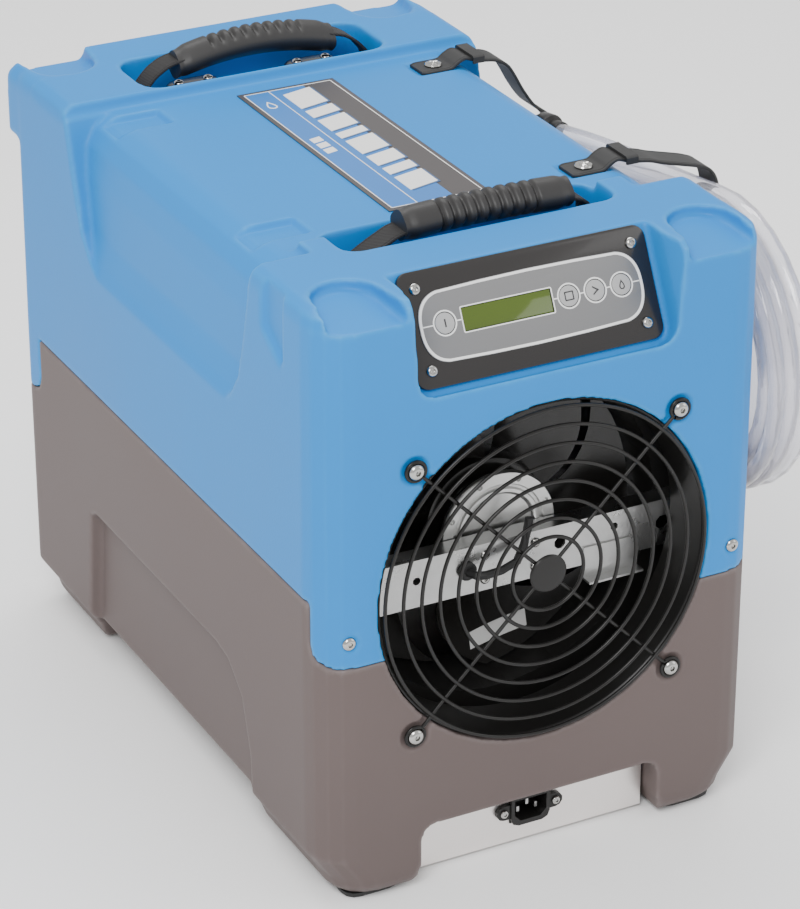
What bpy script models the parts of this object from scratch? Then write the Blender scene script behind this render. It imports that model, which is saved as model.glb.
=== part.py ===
"""Portable restoration dehumidifier: rotomoulded two-part case, axial fan outlet and wire grille,
tilted control panel, two carrying handles, side-hung drain hose and the machine inside.
Metres, +Z up, the fan outlet faces -Y, the floor is z = 0 and the case is centred on x = 0.
"""
import math

import bmesh
import bpy
from mathutils import Matrix, Vector

# ---------------------------------------------------------------- driving dimensions
WIDTH = 0.329            # case, side to side
FRONT_Y = -0.2560        # fan-outlet face
REAR_Y = 0.2400          # intake face, below the lip
BLOCK_Z = 0.4310         # top of the front and rear blocks
DECK_DROP = 0.0080       # deck below the blocks
LIP_OUT = 0.0199         # rear lip, beyond the intake face
LIP_H = 0.0540
WALL = 0.0045            # moulded wall
GAP = 0.0003             # clearance between touching pieces
CORNER_F = 0.026         # plan radius, front corners
CORNER_R = 0.012         # plan radius, rear corners

SEAM_SIDE_Z = 0.2270     # case joint along the sides
SEAM_END_DROP = 0.0440   # how far the upper case steps down at both ends
SEAM_FRONT_LEN = 0.0200  # length of the front step along the side
SEAM_REAR_LEN = 0.0300
SEAM_GAP = 0.0006

FOOT_H = 0.0300          # underside above the floor between the feet
FOOT_IN = 0.0140         # outer side of a foot, in from the case side
PAD_H = 0.0040           # rubber pad under a foot
ARCH_W = 0.1820          # opening between the front feet
ARCH_H = 0.0485
FOOT_LEN_F = 0.1040
FOOT_LEN_R = 0.0850
LUG_Z0, LUG_Z1 = 0.0660, 0.1100   # rear stacking lugs

FAN_Z = 0.2180           # fan axis
DUCT_R = 0.1235          # outlet opening
DUCT_DEPTH = 0.0380
SCREW_SQ = DUCT_R - 0.0265   # half the grille-screw square
RING_N = 8
RING_R0 = 0.0265
RING_PITCH = (DUCT_R - 0.00404 - RING_R0) / (RING_N - 1)
WIRE = 0.0026
HUB_R = 0.0135

PANEL_TILT = math.radians(27.1)
PANEL_Y = -0.2307        # middle of the bezel face
PANEL_Z = 0.3981
BEZEL_W = 0.1800
BEZEL_H = 0.0750
BEZEL_T = 0.0030
BEZEL_SX = 0.0785        # bezel screws, from the middle
BEZEL_SV = 0.0262
KEY_R = 0.0068
KEY_T = 0.0018
KEY_TRAVEL = 0.0005
KEY_U = (-0.0630, 0.0264, 0.0458, 0.0652)
KEY_V = 0.0015
LCD_U0, LCD_U1 = -0.0500, 0.0140
LCD_V0, LCD_V1 = -0.0062, 0.0086

TRENCH_W = 0.2000        # recess of the front handle
TRENCH_Y0, TRENCH_Y1 = -0.1680, -0.1180
TRENCH_Z = 0.3880
RECESS_W = 0.1900        # recess of the rear handle
RECESS_Y0, RECESS_Y1 = 0.1520, 0.2120
RECESS_Z = 0.4000
GRIP_R = 0.0120
GRIP_LEN = 0.1240
HANDLE_X = 0.0470        # handle anchors, from the middle
FRONT_SHIFT = 0.0120     # the front grip has slid this far along its webbing
FRONT_DROP = 0.0020      # how far the ends of a grip hang below its middle
REAR_DROP = 0.0091
BLADE_PHASE = -30        # degrees
HANDLE_STRAP_W = 0.0200
STRAP_T = 0.0018

INTAKE_W = 0.2440        # filter pocket in the rear face
INTAKE_Z0, INTAKE_Z1 = 0.1130, 0.3600
INTAKE_DEPTH = 0.0180
FILTER_T = 0.0120

STRAP_Y = (-0.0975, 0.1185)   # hose straps, and the pads moulded for them
STRAP_W = 0.0240
RIVET_X = 0.1140
HOSE_D = 0.0120
PLATE_Y = -0.2365        # steel front flange of the chassis
PLATE_T = 0.0015
PAN_BOTTOM = 0.0030      # chassis pan above the floor
INLET_Z = 0.0285
INLET_PITCH = 0.0400     # mains-inlet screws

HALF = WIDTH / 2
DECK_Z = BLOCK_Z - DECK_DROP
IN_HALF = HALF - WALL
FLOOR_TOP = ARCH_H + WALL

for old in list(bpy.data.objects):
    bpy.data.objects.remove(old, do_unlink=True)

COLOURS = {
    "case_blue": ((0.14, 0.41, 0.70), 0.42, 0.0),
    "case_grey": ((0.21, 0.18, 0.18), 0.55, 0.0),
    "black_plastic": ((0.025, 0.024, 0.024), 0.40, 0.0),
    "gloss_black": ((0.018, 0.018, 0.018), 0.18, 0.0),
    "black_rubber": ((0.030, 0.030, 0.031), 0.70, 0.0),
    "webbing": ((0.022, 0.022, 0.023), 0.90, 0.0),
    "satin_steel": ((0.62, 0.60, 0.58), 0.38, 0.9),
    "zinc": ((0.66, 0.67, 0.68), 0.34, 0.9),
    "stainless": ((0.72, 0.71, 0.70), 0.25, 1.0),
    "overlay_grey": ((0.28, 0.29, 0.29), 0.45, 0.0),
    "key_grey": ((0.50, 0.51, 0.51), 0.45, 0.0),
    "lcd_glass": ((0.10, 0.16, 0.03), 0.12, 0.0),
    "label_film": ((0.06, 0.20, 0.48), 0.35, 0.0),
    "sticker": ((0.80, 0.80, 0.79), 0.50, 0.0),
    "circuit": ((0.03, 0.16, 0.07), 0.50, 0.0),
    "aluminium": ((0.70, 0.71, 0.72), 0.35, 0.9),
    "copper": ((0.72, 0.36, 0.20), 0.30, 1.0),
    "black_enamel": ((0.020, 0.020, 0.022), 0.30, 0.0),
    "core_plastic": ((0.70, 0.72, 0.74), 0.45, 0.0),
    "filter_media": ((0.75, 0.77, 0.78), 0.95, 0.0),
    "clear_vinyl": ((0.80, 0.79, 0.84), 0.12, 0.0),
    "brass": ((0.70, 0.52, 0.25), 0.30, 1.0),
    "white_plastic": ((0.80, 0.80, 0.78), 0.45, 0.0),
}
MATS = {}
for mat_name, (rgb, rough, metal) in COLOURS.items():
    m = bpy.data.materials.new(mat_name)
    m.use_nodes = True
    shader = m.node_tree.nodes["Principled BSDF"]
    shader.inputs["Base Color"].default_value = (*rgb, 1.0)
    shader.inputs["Roughness"].default_value = rough
    shader.inputs["Metallic"].default_value = metal
    m.diffuse_color = (*rgb, 1.0)
    MATS[mat_name] = m


# ---------------------------------------------------------------- building blocks
def from_bm(name, bm, mat=None):
    bmesh.ops.remove_doubles(bm, verts=bm.verts, dist=1e-6)
    bmesh.ops.recalc_face_normals(bm, faces=bm.faces)
    mesh = bpy.data.meshes.new(name)
    bm.to_mesh(mesh)
    bm.free()
    obj = bpy.data.objects.new(name, mesh)
    bpy.context.scene.collection.objects.link(obj)
    if mat:
        mesh.materials.append(MATS[mat])
    return obj


def loft(name, rings, mat=None, closed=False):
    """A solid through equal rings of points; closed joins the last ring to the first."""
    bm = bmesh.new()
    rows = [[bm.verts.new(p) for p in ring] for ring in rings]
    n = len(rows[0])
    pairs = list(zip(rows, rows[1:]))
    if closed:
        pairs.append((rows[-1], rows[0]))
    for a, b in pairs:
        for i in range(n):
            j = (i + 1) % n
            bm.faces.new((a[i], a[j], b[j], b[i]))
    if not closed:
        bm.faces.new(list(reversed(rows[0])))
        bm.faces.new(rows[-1])
    return from_bm(name, bm, mat)


def box(name, lo, hi, mat=None, bevel=0.0, segments=1):
    bm = bmesh.new()
    bmesh.ops.create_cube(bm, size=1.0)
    size = [h - l for l, h in zip(lo, hi)]
    mid = [(h + l) / 2 for l, h in zip(lo, hi)]
    bmesh.ops.transform(bm, matrix=Matrix.Translation(mid) @ Matrix.Diagonal((*size, 1.0)), verts=bm.verts)
    if bevel:
        bmesh.ops.bevel(bm, geom=list(bm.edges), offset=bevel, segments=segments, affect="EDGES", profile=0.5)
    return from_bm(name, bm, mat)


def frame_to(direction):
    return Vector((0, 0, 1)).rotation_difference(Vector(direction).normalized()).to_matrix().to_4x4()


def turned(name, stations, centre, direction, mat=None, seg=24, hole=False):
    """A solid of revolution; stations are (radius, height along the direction)."""
    rings = []
    place = Matrix.Translation(centre) @ frame_to(direction)
    for r, h in stations:
        ring = []
        for k in range(seg):
            a = 2 * math.pi * (k + 0.5) / seg
            ring.append(place @ Vector((r * math.cos(a), r * math.sin(a), h)))
        rings.append(ring)
    return loft(name, rings, mat, closed=hole)


def rod(name, p0, p1, r, mat=None, seg=12):
    p0, p1 = Vector(p0), Vector(p1)
    return turned(name, [(r, 0.0), (r, (p1 - p0).length)], p0, p1 - p0, mat, seg)


def sweep(name, path, section, mat=None, up=(0, 0, 1), closed=False):
    """A flat section (across, out) carried along a path of points."""
    pts = [Vector(p) for p in path]
    n = len(pts)
    rings = []
    for i, p in enumerate(pts):
        a = pts[(i - 1) % n] if closed or i else p
        b = pts[(i + 1) % n] if closed or i < n - 1 else p
        t = (b - a).normalized()
        side = t.cross(Vector(up)).normalized()
        out = side.cross(t).normalized()
        rings.append([p + side * s + out * o for s, o in section])
    return loft(name, rings, mat, closed=closed)


def round_section(r, seg=8):
    return [(r * math.cos(2 * math.pi * k / seg), r * math.sin(2 * math.pi * k / seg)) for k in range(seg)]


def rect_section(w, t, base=0.0):
    return [(-w / 2, base), (w / 2, base), (w / 2, base + t), (-w / 2, base + t)]


def extrude(name, outline, axis, lo, hi, mat=None):
    """A flat outline of (a, b) pairs in the plane across an axis, pushed along it."""
    def place(a, b, c):
        return {"x": (c, a, b), "y": (a, c, b), "z": (a, b, c)}[axis]
    return loft(name, [[place(a, b, lo) for a, b in outline], [place(a, b, hi) for a, b in outline]], mat)


def round_rect(x0, x1, y0, y1, radii, seg=4):
    """Outline with a radius at each corner: front left, front right, rear right, rear left."""
    corners = [(x0, y0, 1, 1, 180), (x1, y0, -1, 1, 270), (x1, y1, -1, -1, 0), (x0, y1, 1, -1, 90)]
    pts = []
    for (cx, cy, sx, sy, start), r in zip(corners, radii):
        for k in range(seg + 1):
            a = math.radians(start + 90 * k / seg)
            pts.append((cx + sx * r + r * math.cos(a), cy + sy * r + r * math.sin(a)))
    return pts


def boolean(obj, tools, operation):
    for tool in tools:
        mod = obj.modifiers.new("b", "BOOLEAN")
        mod.operation = operation
        mod.solver = "EXACT"
        mod.object = tool
        bpy.context.view_layer.update()
        mesh = bpy.data.meshes.new_from_object(obj.evaluated_get(bpy.context.evaluated_depsgraph_get()))
        obj.modifiers.clear()
        old = obj.data
        keep = [slot for slot in old.materials if slot]
        obj.data = mesh
        mesh.name = obj.name
        bpy.data.meshes.remove(old)
        if keep:
            mesh.materials.clear()
            mesh.materials.append(keep[0])
            for poly in mesh.polygons:
                poly.material_index = 0
    return obj


def drop(*objs):
    for obj in objs:
        bpy.data.objects.remove(obj, do_unlink=True)


def cut(obj, *tools, keep=False):
    boolean(obj, tools, "DIFFERENCE")
    if not keep:
        drop(*tools)
    return obj


def join(obj, *tools):
    boolean(obj, tools, "UNION")
    drop(*tools)
    return obj


def common(obj, *tools):
    boolean(obj, tools, "INTERSECT")
    drop(*tools)
    return obj


def copy_of(obj, name, mat):
    new = obj.copy()
    new.data = obj.data.copy()
    new.name = name
    new.data.name = name
    bpy.context.scene.collection.objects.link(new)
    new.data.materials.clear()
    new.data.materials.append(MATS[mat])
    return new


def panel(u, v, w):
    """A point of the tilted control panel: across, up the slope, out of the face."""
    s, c = math.sin(PANEL_TILT), math.cos(PANEL_TILT)
    return Vector((u, PANEL_Y + v * s - w * c, PANEL_Z + v * c + w * s))


PANEL_N = panel(0, 0, 1) - panel(0, 0, 0)


def panel_plate(name, outline, w0, w1, mat=None):
    return loft(name, [[panel(u, v, w0) for u, v in outline], [panel(u, v, w1) for u, v in outline]], mat)


def set_origin(obj, point):
    point = Vector(point)
    obj.data.transform(Matrix.Translation(-point))
    obj.location = point


def screw(name, seat, direction, head_r, head_h, shank_r, length, through=(), mat="stainless"):
    """A domed-head screw standing GAP off its seat, with clearance holes in what it goes through."""
    seat, out = Vector(seat), Vector(direction).normalized()
    base = seat + out * GAP
    for part in through:
        cut(part, rod("hole", seat + out * 0.02, seat - out * (length + 0.001), shank_r + GAP, seg=8))
    stations = [(shank_r, -length), (shank_r, 0.0), (head_r, 0.0), (head_r, head_h * 0.45), (head_r * 0.55, head_h)]
    return turned(name, stations, base, out, mat, seg=8)


# ---------------------------------------------------------------- the case, as one body first
def case_ring(z, side, front, rear, grow=0.0):
    outline = round_rect(-HALF + side - grow, HALF - side + grow, FRONT_Y + front - grow, REAR_Y - rear + grow,
                         (CORNER_F, CORNER_F, CORNER_R, CORNER_R), seg=4)
    return [(x, y, z) for x, y in outline]


def case_solid(name, levels, inset=0.0):
    return loft(name, [case_ring(z, s + inset, f + inset, r + inset) for z, s, f, r in levels])


PAD_TOP = PAD_H + GAP
outer = case_solid("case", [
    (PAD_TOP, FOOT_IN + 0.004, 0.006, 0.010),
    (PAD_TOP + 0.006, FOOT_IN, 0.001, 0.006),
    (FOOT_H - 0.012, FOOT_IN - 0.002, 0.000, 0.004),
    (FOOT_H + 0.006, 0.000, 0.000, 0.000),
    (SEAM_SIDE_Z, 0.000, 0.000, 0.000),
    (BLOCK_Z - 0.012, 0.001, 0.000, 0.000),
    (BLOCK_Z - 0.004, 0.003, 0.002, 0.002),
    (BLOCK_Z, 0.010, 0.009, 0.008),
])
lip_outline = round_rect(-HALF + 0.0012, HALF - 0.0012, REAR_Y - 0.050, REAR_Y + LIP_OUT,
                         (0.0015, 0.0015, CORNER_R, CORNER_R), seg=4)
lip_top = round_rect(-HALF + 0.0102, HALF - 0.0102, REAR_Y - 0.050, REAR_Y + LIP_OUT - 0.008,
                     (0.0015, 0.0015, CORNER_R - 0.008, CORNER_R - 0.008), seg=4)
lip = loft("lip", [
    [(x, y, BLOCK_Z - LIP_H) for x, y in lip_outline],
    [(x, y, BLOCK_Z - 0.010) for x, y in lip_outline],
    [(x, y, BLOCK_Z) for x, y in lip_top],
])
join(outer, lip)


def deck_tool(grow):
    y0, y1 = TRENCH_Y0 + 0.028 - grow, RECESS_Y0 + grow
    return extrude("deck", [(y0 + 0.006, DECK_Z - grow), (y1 - 0.006, DECK_Z - grow), (y1 + 0.012, DECK_Z + 0.05),
                            (y0 - 0.012, DECK_Z + 0.05)], "x", -0.3, 0.3)


SCOOP = (   # height, inward reach from the side, front end, rear end
    (0.3170, -0.0012, -0.112, 0.086),
    (0.3300, 0.0045, -0.126, 0.104),
    (0.3460, 0.0095, -0.1370, 0.118),
    (0.3850, 0.0125, -0.1465, 0.131),
    (0.4050, 0.0160, -0.1510, 0.137),
    (0.4160, 0.0230, -0.1530, 0.140),
    (0.4217, 0.0330, -0.1545, 0.142),
    (0.4250, 0.0450, -0.1555, 0.143),
    (0.4600, 0.0450, -0.1580, 0.146),
)


def scoop_tool(side, grow):
    rings = []
    for z, reach, y0, y1 in SCOOP:
        x_in = side * (HALF - reach - grow)
        x_out = side * (HALF + 0.05)
        rings.append([(x_out, y0 - grow, z - grow), (x_in, y0 - grow, z - grow), (x_in, y1 + grow, z - grow),
                      (x_out, y1 + grow, z - grow)])
    return loft("scoop", rings)


def well_tool(width, y0, y1, floor, radius, grow):
    ring = round_rect(-width / 2 - grow, width / 2 + grow, y0 - grow, y1 + grow, [radius + grow] * 4, seg=3)
    wide = round_rect(-width / 2 - grow - 0.004, width / 2 + grow + 0.004, y0 - grow - 0.002, y1 + grow + 0.002,
                      [radius + grow + 0.003] * 4, seg=3)
    return loft("well", [[(x, y, floor - grow) for x, y in ring], [(x, y, BLOCK_Z - 0.006) for x, y in ring],
                         [(x, y, BLOCK_Z + 0.03) for x, y in wide]])


POCKET_HALF = BEZEL_W / 2 + 0.0045
POCKET_V = BEZEL_H / 2 + 0.0050
POCKET_W = -(BEZEL_T + GAP)


def pocket_tool(grow):
    r = 0.012
    outline = round_rect(-POCKET_HALF - grow, POCKET_HALF + grow, -POCKET_V - grow, 0.12, (r, r, 0.001, 0.001), seg=3)
    wide = round_rect(-POCKET_HALF - grow - 0.007, POCKET_HALF + grow + 0.007, -POCKET_V - grow - 0.006, 0.12,
                      (r, r, 0.001, 0.001), seg=3)
    return loft("pocket", [[panel(u, v, POCKET_W - grow) for u, v in outline],
                           [panel(u, v, 0.014) for u, v in outline],
                           [panel(u, v, 0.060) for u, v in wide]])


def corner_tool(side, end, grow):
    """A stacking scoop: a round-backed notch whose floor falls toward the end face."""
    cx, r = side * 0.1285, 0.0235
    if end < 0:
        back, face, z_back, z_face = -0.2020, FRONT_Y - 0.02, DECK_Z + 0.0010, DECK_Z - 0.0075
    else:
        back, face, z_back, z_face = 0.2060, REAR_Y + LIP_OUT + 0.02, DECK_Z + 0.0010, DECK_Z - 0.0060
    cy = back + end * r
    pts = []
    for k in range(9):
        a = math.radians(-end * 180 * k / 8) if end < 0 else math.radians(180 + 180 * k / 8)
        pts.append((cx + (r + grow) * math.cos(a), cy + (r + grow) * math.sin(a)))
    pts.append((cx + (pts[-1][0] - cx) * 1.25, face))
    pts.append((cx + (pts[0][0] - cx) * 1.25, face))
    span = abs(face - back)
    low = [(x, y, z_back + (z_face - z_back) * abs(y - back) / span - grow) for x, y in pts]
    high = [(x, y, BLOCK_Z + 0.03) for x, y in pts]
    return loft("corner", [low, high])


def groove_tool(side):
    x0, x1 = side * (HALF - 0.0050), side * (HALF + 0.02)
    out = [(-0.1740, 0.46), (-0.1745, 0.3960), (-0.2030, 0.3790), (-0.2030, 0.46)]
    return extrude("groove", out, "x", x0, x1)


def intake_tool(grow):
    return box("intake", (-INTAKE_W / 2 - grow, REAR_Y - INTAKE_DEPTH - grow, INTAKE_Z0 - grow),
               (INTAKE_W / 2 + grow, REAR_Y + 0.1, INTAKE_Z1 + grow))


def side_recess_tool(side, grow):
    """The shallow hand recess low on the side, between the feet."""
    x_in, x_out = side * (HALF - 0.0080 - grow), side * (HALF + 0.05)
    out = [(-0.1460 - grow, -0.05), (-0.1410 - grow, 0.060), (-0.1290 - grow, 0.100), (-0.1080 - grow, 0.119 + grow),
           (-0.0900, 0.123 + grow), (0.1120, 0.123 + grow), (0.1200 + grow, 0.118), (0.1290 + grow, 0.036),
           (0.1400 + grow, -0.05)]
    inner = [(x_in, y, z) for y, z in out]
    wide = [(side * HALF, y + (0.004 if y > 0 else -0.004), z + (0.004 if z > 0.05 else 0)) for y, z in out]
    far = [(x_out, y, z) for y, z in [(p[1], p[2]) for p in wide]]
    return loft("side_recess", [inner, wide, far])


def under_tool():
    """What is open under the case: between the feet, front to rear and side to side."""
    y0, y1 = FRONT_Y + FOOT_LEN_F, REAR_Y - FOOT_LEN_R
    return extrude("under", [(y0, -0.02), (y0 + 0.026, FOOT_H), (y1 - 0.020, FOOT_H), (y1, -0.02)], "x", -0.3, 0.3)


def arch_tool():
    h, r = ARCH_W / 2, 0.010
    out = [(-h - 0.010, -0.02), (-h, 0.020), (-h, ARCH_H - r), (-h + r * 0.3, ARCH_H - r * 0.3), (-h + r, ARCH_H),
           (h - r, ARCH_H), (h - r * 0.3, ARCH_H - r * 0.3), (h, ARCH_H - r), (h, 0.020), (h + 0.010, -0.02)]
    return extrude("arch", out, "y", FRONT_Y - 0.05, REAR_Y + 0.05)


def pan_tool():
    """Square-cornered room for the chassis pan behind the arch."""
    h = ARCH_W / 2 + 0.0002
    return box("pan_room", (-h, PLATE_Y - GAP, -0.02), (h, REAR_Y - 0.0290, ARCH_H))


def duct_tool(radius, depth):
    return turned("duct", [(radius, 0.0), (radius, 0.05 + depth)], (0, FRONT_Y - 0.05, FAN_Z), (0, 1, 0), seg=40)


def solid_cavity():
    """The hollow of the case, kept WALL clear of every recess."""
    core = case_solid("cavity", [
        (FLOOR_TOP, 0.000, 0.000, 0.000),
        (BLOCK_Z - 0.012, 0.001, 0.000, 0.000),
        (BLOCK_Z - 0.0075, 0.004, 0.003, 0.003),
    ], inset=WALL)
    cut(core, deck_tool(WALL), scoop_tool(-1, WALL), scoop_tool(1, WALL),
        well_tool(TRENCH_W, TRENCH_Y0, TRENCH_Y1, TRENCH_Z, 0.012, WALL),
        well_tool(RECESS_W, RECESS_Y0, RECESS_Y1, RECESS_Z, 0.014, WALL), pocket_tool(WALL),
        corner_tool(-1, -1, WALL), corner_tool(1, -1, WALL), corner_tool(-1, 1, WALL), corner_tool(1, 1, WALL),
        intake_tool(WALL), side_recess_tool(-1, WALL), side_recess_tool(1, WALL))
    cut(core, box("groove_l", (-0.3, -0.208, 0.374), (-HALF + 0.0095, -0.169, 0.5)),
        box("groove_r", (HALF - 0.0095, -0.208, 0.374), (0.3, -0.169, 0.5)))
    cut(core, duct_tool(DUCT_R + WALL, DUCT_DEPTH))
    for sx in (-1, 1):
        for sz in (-1, 1):
            cut(core, rod("boss", (sx * SCREW_SQ, FRONT_Y - 0.01, FAN_Z + sz * SCREW_SQ),
                          (sx * SCREW_SQ, FRONT_Y + 0.018, FAN_Z + sz * SCREW_SQ), 0.0080, seg=10))
    return core


cut(outer, deck_tool(0), scoop_tool(-1, 0), scoop_tool(1, 0),
    well_tool(TRENCH_W, TRENCH_Y0, TRENCH_Y1, TRENCH_Z, 0.012, 0),
    well_tool(RECESS_W, RECESS_Y0, RECESS_Y1, RECESS_Z, 0.014, 0), pocket_tool(0),
    corner_tool(-1, -1, 0), corner_tool(1, -1, 0), corner_tool(-1, 1, 0), corner_tool(1, 1, 0),
    groove_tool(-1), groove_tool(1), intake_tool(0), side_recess_tool(-1, 0), side_recess_tool(1, 0),
    under_tool(), arch_tool(), pan_tool(), duct_tool(DUCT_R, 0.12))
for sx in (-1, 1):
    for y0, y1 in [(sy - STRAP_W / 2 - 0.0010, sy + STRAP_W / 2 + 0.0010) for sy in STRAP_Y]:
        lo, hi = sorted((sx * 0.0960, sx * 0.1360))
        cut(outer, box("dent", (lo, y0, DECK_Z - 0.0020), (hi, y1, DECK_Z + 0.02)))
for sx in (-1, 1):
    for sz in (-1, 1):
        at = Vector((sx * SCREW_SQ, FRONT_Y, FAN_Z + sz * SCREW_SQ))
        toward = Vector((-sx, 0, -sz)).normalized()
        side = Vector((sz, 0, -sx)).normalized()
        eye = rod("eye", at - Vector((0, 0.01, 0)), at + Vector((0, 0.0022, 0)), 0.0105, seg=16)
        slot_pts = [at + side * 0.005, at - side * 0.005, at - side * 0.005 + toward * 0.02,
                    at + side * 0.005 + toward * 0.02]
        slot = loft("slot", [[(p.x, p.y + 0.0022, p.z) for p in slot_pts], [(p.x, p.y - 0.01, p.z) for p in slot_pts]])
        cut(outer, eye, slot)
cavity = solid_cavity()
cut(outer, cavity)
INTAKE_HOLE = 0.0120     # ledge that the intake grille rests on
cut(outer, box("air", (-INTAKE_W / 2 + INTAKE_HOLE, REAR_Y - INTAKE_DEPTH - 0.02, INTAKE_Z0 + INTAKE_HOLE),
               (INTAKE_W / 2 - INTAKE_HOLE, REAR_Y, INTAKE_Z1 - INTAKE_HOLE)))
CASE_SCREW_X, CASE_SCREW_DZ = 0.1435, 0.0185
SEAM_END_Z = SEAM_SIDE_Z - SEAM_END_DROP
for sx in (-1, 1):
    at = (sx * CASE_SCREW_X, FRONT_Y, SEAM_END_Z + CASE_SCREW_DZ)
    cut(outer, turned("dimple", [(0.0055, -0.0022), (0.0080, 0.002), (0.0080, 0.01)], at, (0, -1, 0), seg=14))


def seam_region(z_shift):
    """Everything above the stepped joint of the case."""
    y0, y1 = FRONT_Y + SEAM_FRONT_LEN, REAR_Y - SEAM_REAR_LEN
    zs, ze, r = SEAM_SIDE_Z + z_shift, SEAM_END_Z + z_shift, 0.014
    g = z_shift
    out = [(FRONT_Y - 0.05, 0.6), (FRONT_Y - 0.05, ze), (y0 - r - g, ze), (y0 - r * 0.3 - g, ze + r * 0.3),
           (y0 - g, ze + r), (y0 - g, zs), (y1 + g, zs), (y1 + g, ze + r), (y1 + r * 0.3 + g, ze + r * 0.3),
           (y1 + r + g, ze), (REAR_Y + 0.06, ze), (REAR_Y + 0.06, 0.6)]
    return extrude("region", out, "x", -0.4, 0.4)


upper_shell = copy_of(outer, "upper_shell", "case_blue")
common(upper_shell, seam_region(SEAM_GAP / 2))
lower_shell = copy_of(outer, "lower_shell", "case_grey")
cut(lower_shell, seam_region(-SEAM_GAP / 2))
drop(outer)
for sx in (-1, 1):      # stacking lugs at the rear corners
    lo, hi = sorted((sx * (HALF - 0.062), sx * (HALF - 0.030)))
    lug = box("lug", (lo, REAR_Y - 0.004, LUG_Z0), (hi, REAR_Y + LIP_OUT, LUG_Z1), bevel=0.003, segments=2)
    lug_y, lug_z = REAR_Y + 0.0105, (LUG_Z0 + LUG_Z1) / 2
    cut(lug, rod("lug_hole", (lo - 0.01, lug_y, lug_z), (hi + 0.01, lug_y, lug_z), 0.0040, seg=12))
    cut(lug, box("trim", (lo - 0.01, REAR_Y - 0.02, 0.05), (hi + 0.01, REAR_Y - 0.0022, 0.12)))
    join(lower_shell, lug)

# ---------------------------------------------------------------- feet and case screws
FOOT_X = HALF - FOOT_IN - 0.029
FOOT_YF = FRONT_Y + 0.032
FOOT_YR = REAR_Y - 0.040
for tag, sx, fy in (("fl", -1, FOOT_YF), ("fr", 1, FOOT_YF), ("rl", -1, FOOT_YR), ("rr", 1, FOOT_YR)):
    ring = round_rect(sx * FOOT_X - 0.021, sx * FOOT_X + 0.021, fy - 0.023, fy + 0.023, [0.010] * 4, seg=3)
    low = round_rect(sx * FOOT_X - 0.0195, sx * FOOT_X + 0.0195, fy - 0.0215, fy + 0.0215, [0.009] * 4, seg=3)
    loft("foot_pad_" + tag, [[(x, y, 0.0) for x, y in low], [(x, y, 0.0015) for x, y in ring],
                             [(x, y, PAD_H) for x, y in ring]], "black_rubber")

for tag, sx in (("l", -1), ("r", 1)):
    at = (sx * CASE_SCREW_X, FRONT_Y + 0.0022, SEAM_END_Z + CASE_SCREW_DZ)
    screw("case_screw_" + tag, at, (0, -1, 0), 0.0042, 0.0024, 0.0020, 0.0100, through=(upper_shell,))

# ---------------------------------------------------------------- steel chassis and mains inlet
PAN_HALF = ARCH_W / 2 - 0.0015
PAN_TOP = ARCH_H - GAP
PAN_Y1 = REAR_Y - 0.0300
pan = box("chassis_pan", (-PAN_HALF, PLATE_Y, PAN_BOTTOM), (PAN_HALF, PAN_Y1, PAN_TOP), "satin_steel")
cut(pan, box("pan_in", (-PAN_HALF + PLATE_T, PLATE_Y + PLATE_T, PAN_BOTTOM + PLATE_T),
             (PAN_HALF - PLATE_T, PAN_Y1 - PLATE_T, 0.2)))
INLET_W, INLET_H = 0.0280, 0.0215
cut(pan, box("inlet_hole", (-INLET_W / 2 - GAP, PLATE_Y - 0.01, INLET_Z - INLET_H / 2 - GAP),
             (INLET_W / 2 + GAP, PLATE_Y + 0.01, INLET_Z + INLET_H / 2 + GAP)))
flange = []
for k in range(6):
    a = math.radians(90 - 180 * k / 5)
    flange.append((INLET_PITCH / 2 + 0.0055 * math.cos(a), INLET_Z + 0.0055 * math.sin(a)))
for k in range(6):
    a = math.radians(270 - 180 * k / 5)
    flange.append((-INLET_PITCH / 2 + 0.0055 * math.cos(a), INLET_Z + 0.0055 * math.sin(a)))
inlet = extrude("mains_inlet", flange, "y", PLATE_Y - GAP, PLATE_Y - 0.0030 - GAP, "black_plastic")
body = round_rect(-0.0150, 0.0150, INLET_Z - 0.0118, INLET_Z + 0.0118, (0.006, 0.006, 0.001, 0.001), seg=2)
join(inlet, extrude("boss", body, "y", PLATE_Y - GAP, PLATE_Y - 0.0042 - GAP))
join(inlet, box("back", (-INLET_W / 2, PLATE_Y - 0.001, INLET_Z - INLET_H / 2),
                (INLET_W / 2, PLATE_Y + 0.0210, INLET_Z + INLET_H / 2)))
SOCKET = [(-0.0122, INLET_Z + 0.0082), (-0.0122, INLET_Z - 0.0035), (-0.0075, INLET_Z - 0.0082),
          (0.0075, INLET_Z - 0.0082), (0.0122, INLET_Z - 0.0035), (0.0122, INLET_Z + 0.0082)]
cut(inlet, extrude("socket", SOCKET, "y", PLATE_Y - 0.02, PLATE_Y + 0.0135))
PINS = ((-0.0070, -0.0022), (0.0, 0.0020), (0.0070, -0.0022))
pins = box("inlet_pins", (-0.0100, PLATE_Y + 0.0212, INLET_Z - 0.0070), (0.0100, PLATE_Y + 0.0232, INLET_Z + 0.0070),
           "zinc")
for px, pz in PINS:
    lo = (px - 0.0010, PLATE_Y + 0.0010, INLET_Z + pz - 0.0020)
    hi = (px + 0.0010, PLATE_Y + 0.0222, INLET_Z + pz + 0.0020)
    cut(inlet, box("pin_hole", [c - GAP for c in lo], [c + GAP for c in hi]))
    join(pins, box("pin", lo, hi))
for tag, sx in (("l", -1), ("r", 1)):
    screw("inlet_screw_" + tag, (sx * INLET_PITCH / 2, PLATE_Y - 0.0033, INLET_Z), (0, -1, 0), 0.0030, 0.0016,
          0.0015, 0.0080, through=(inlet, pan))

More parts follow.
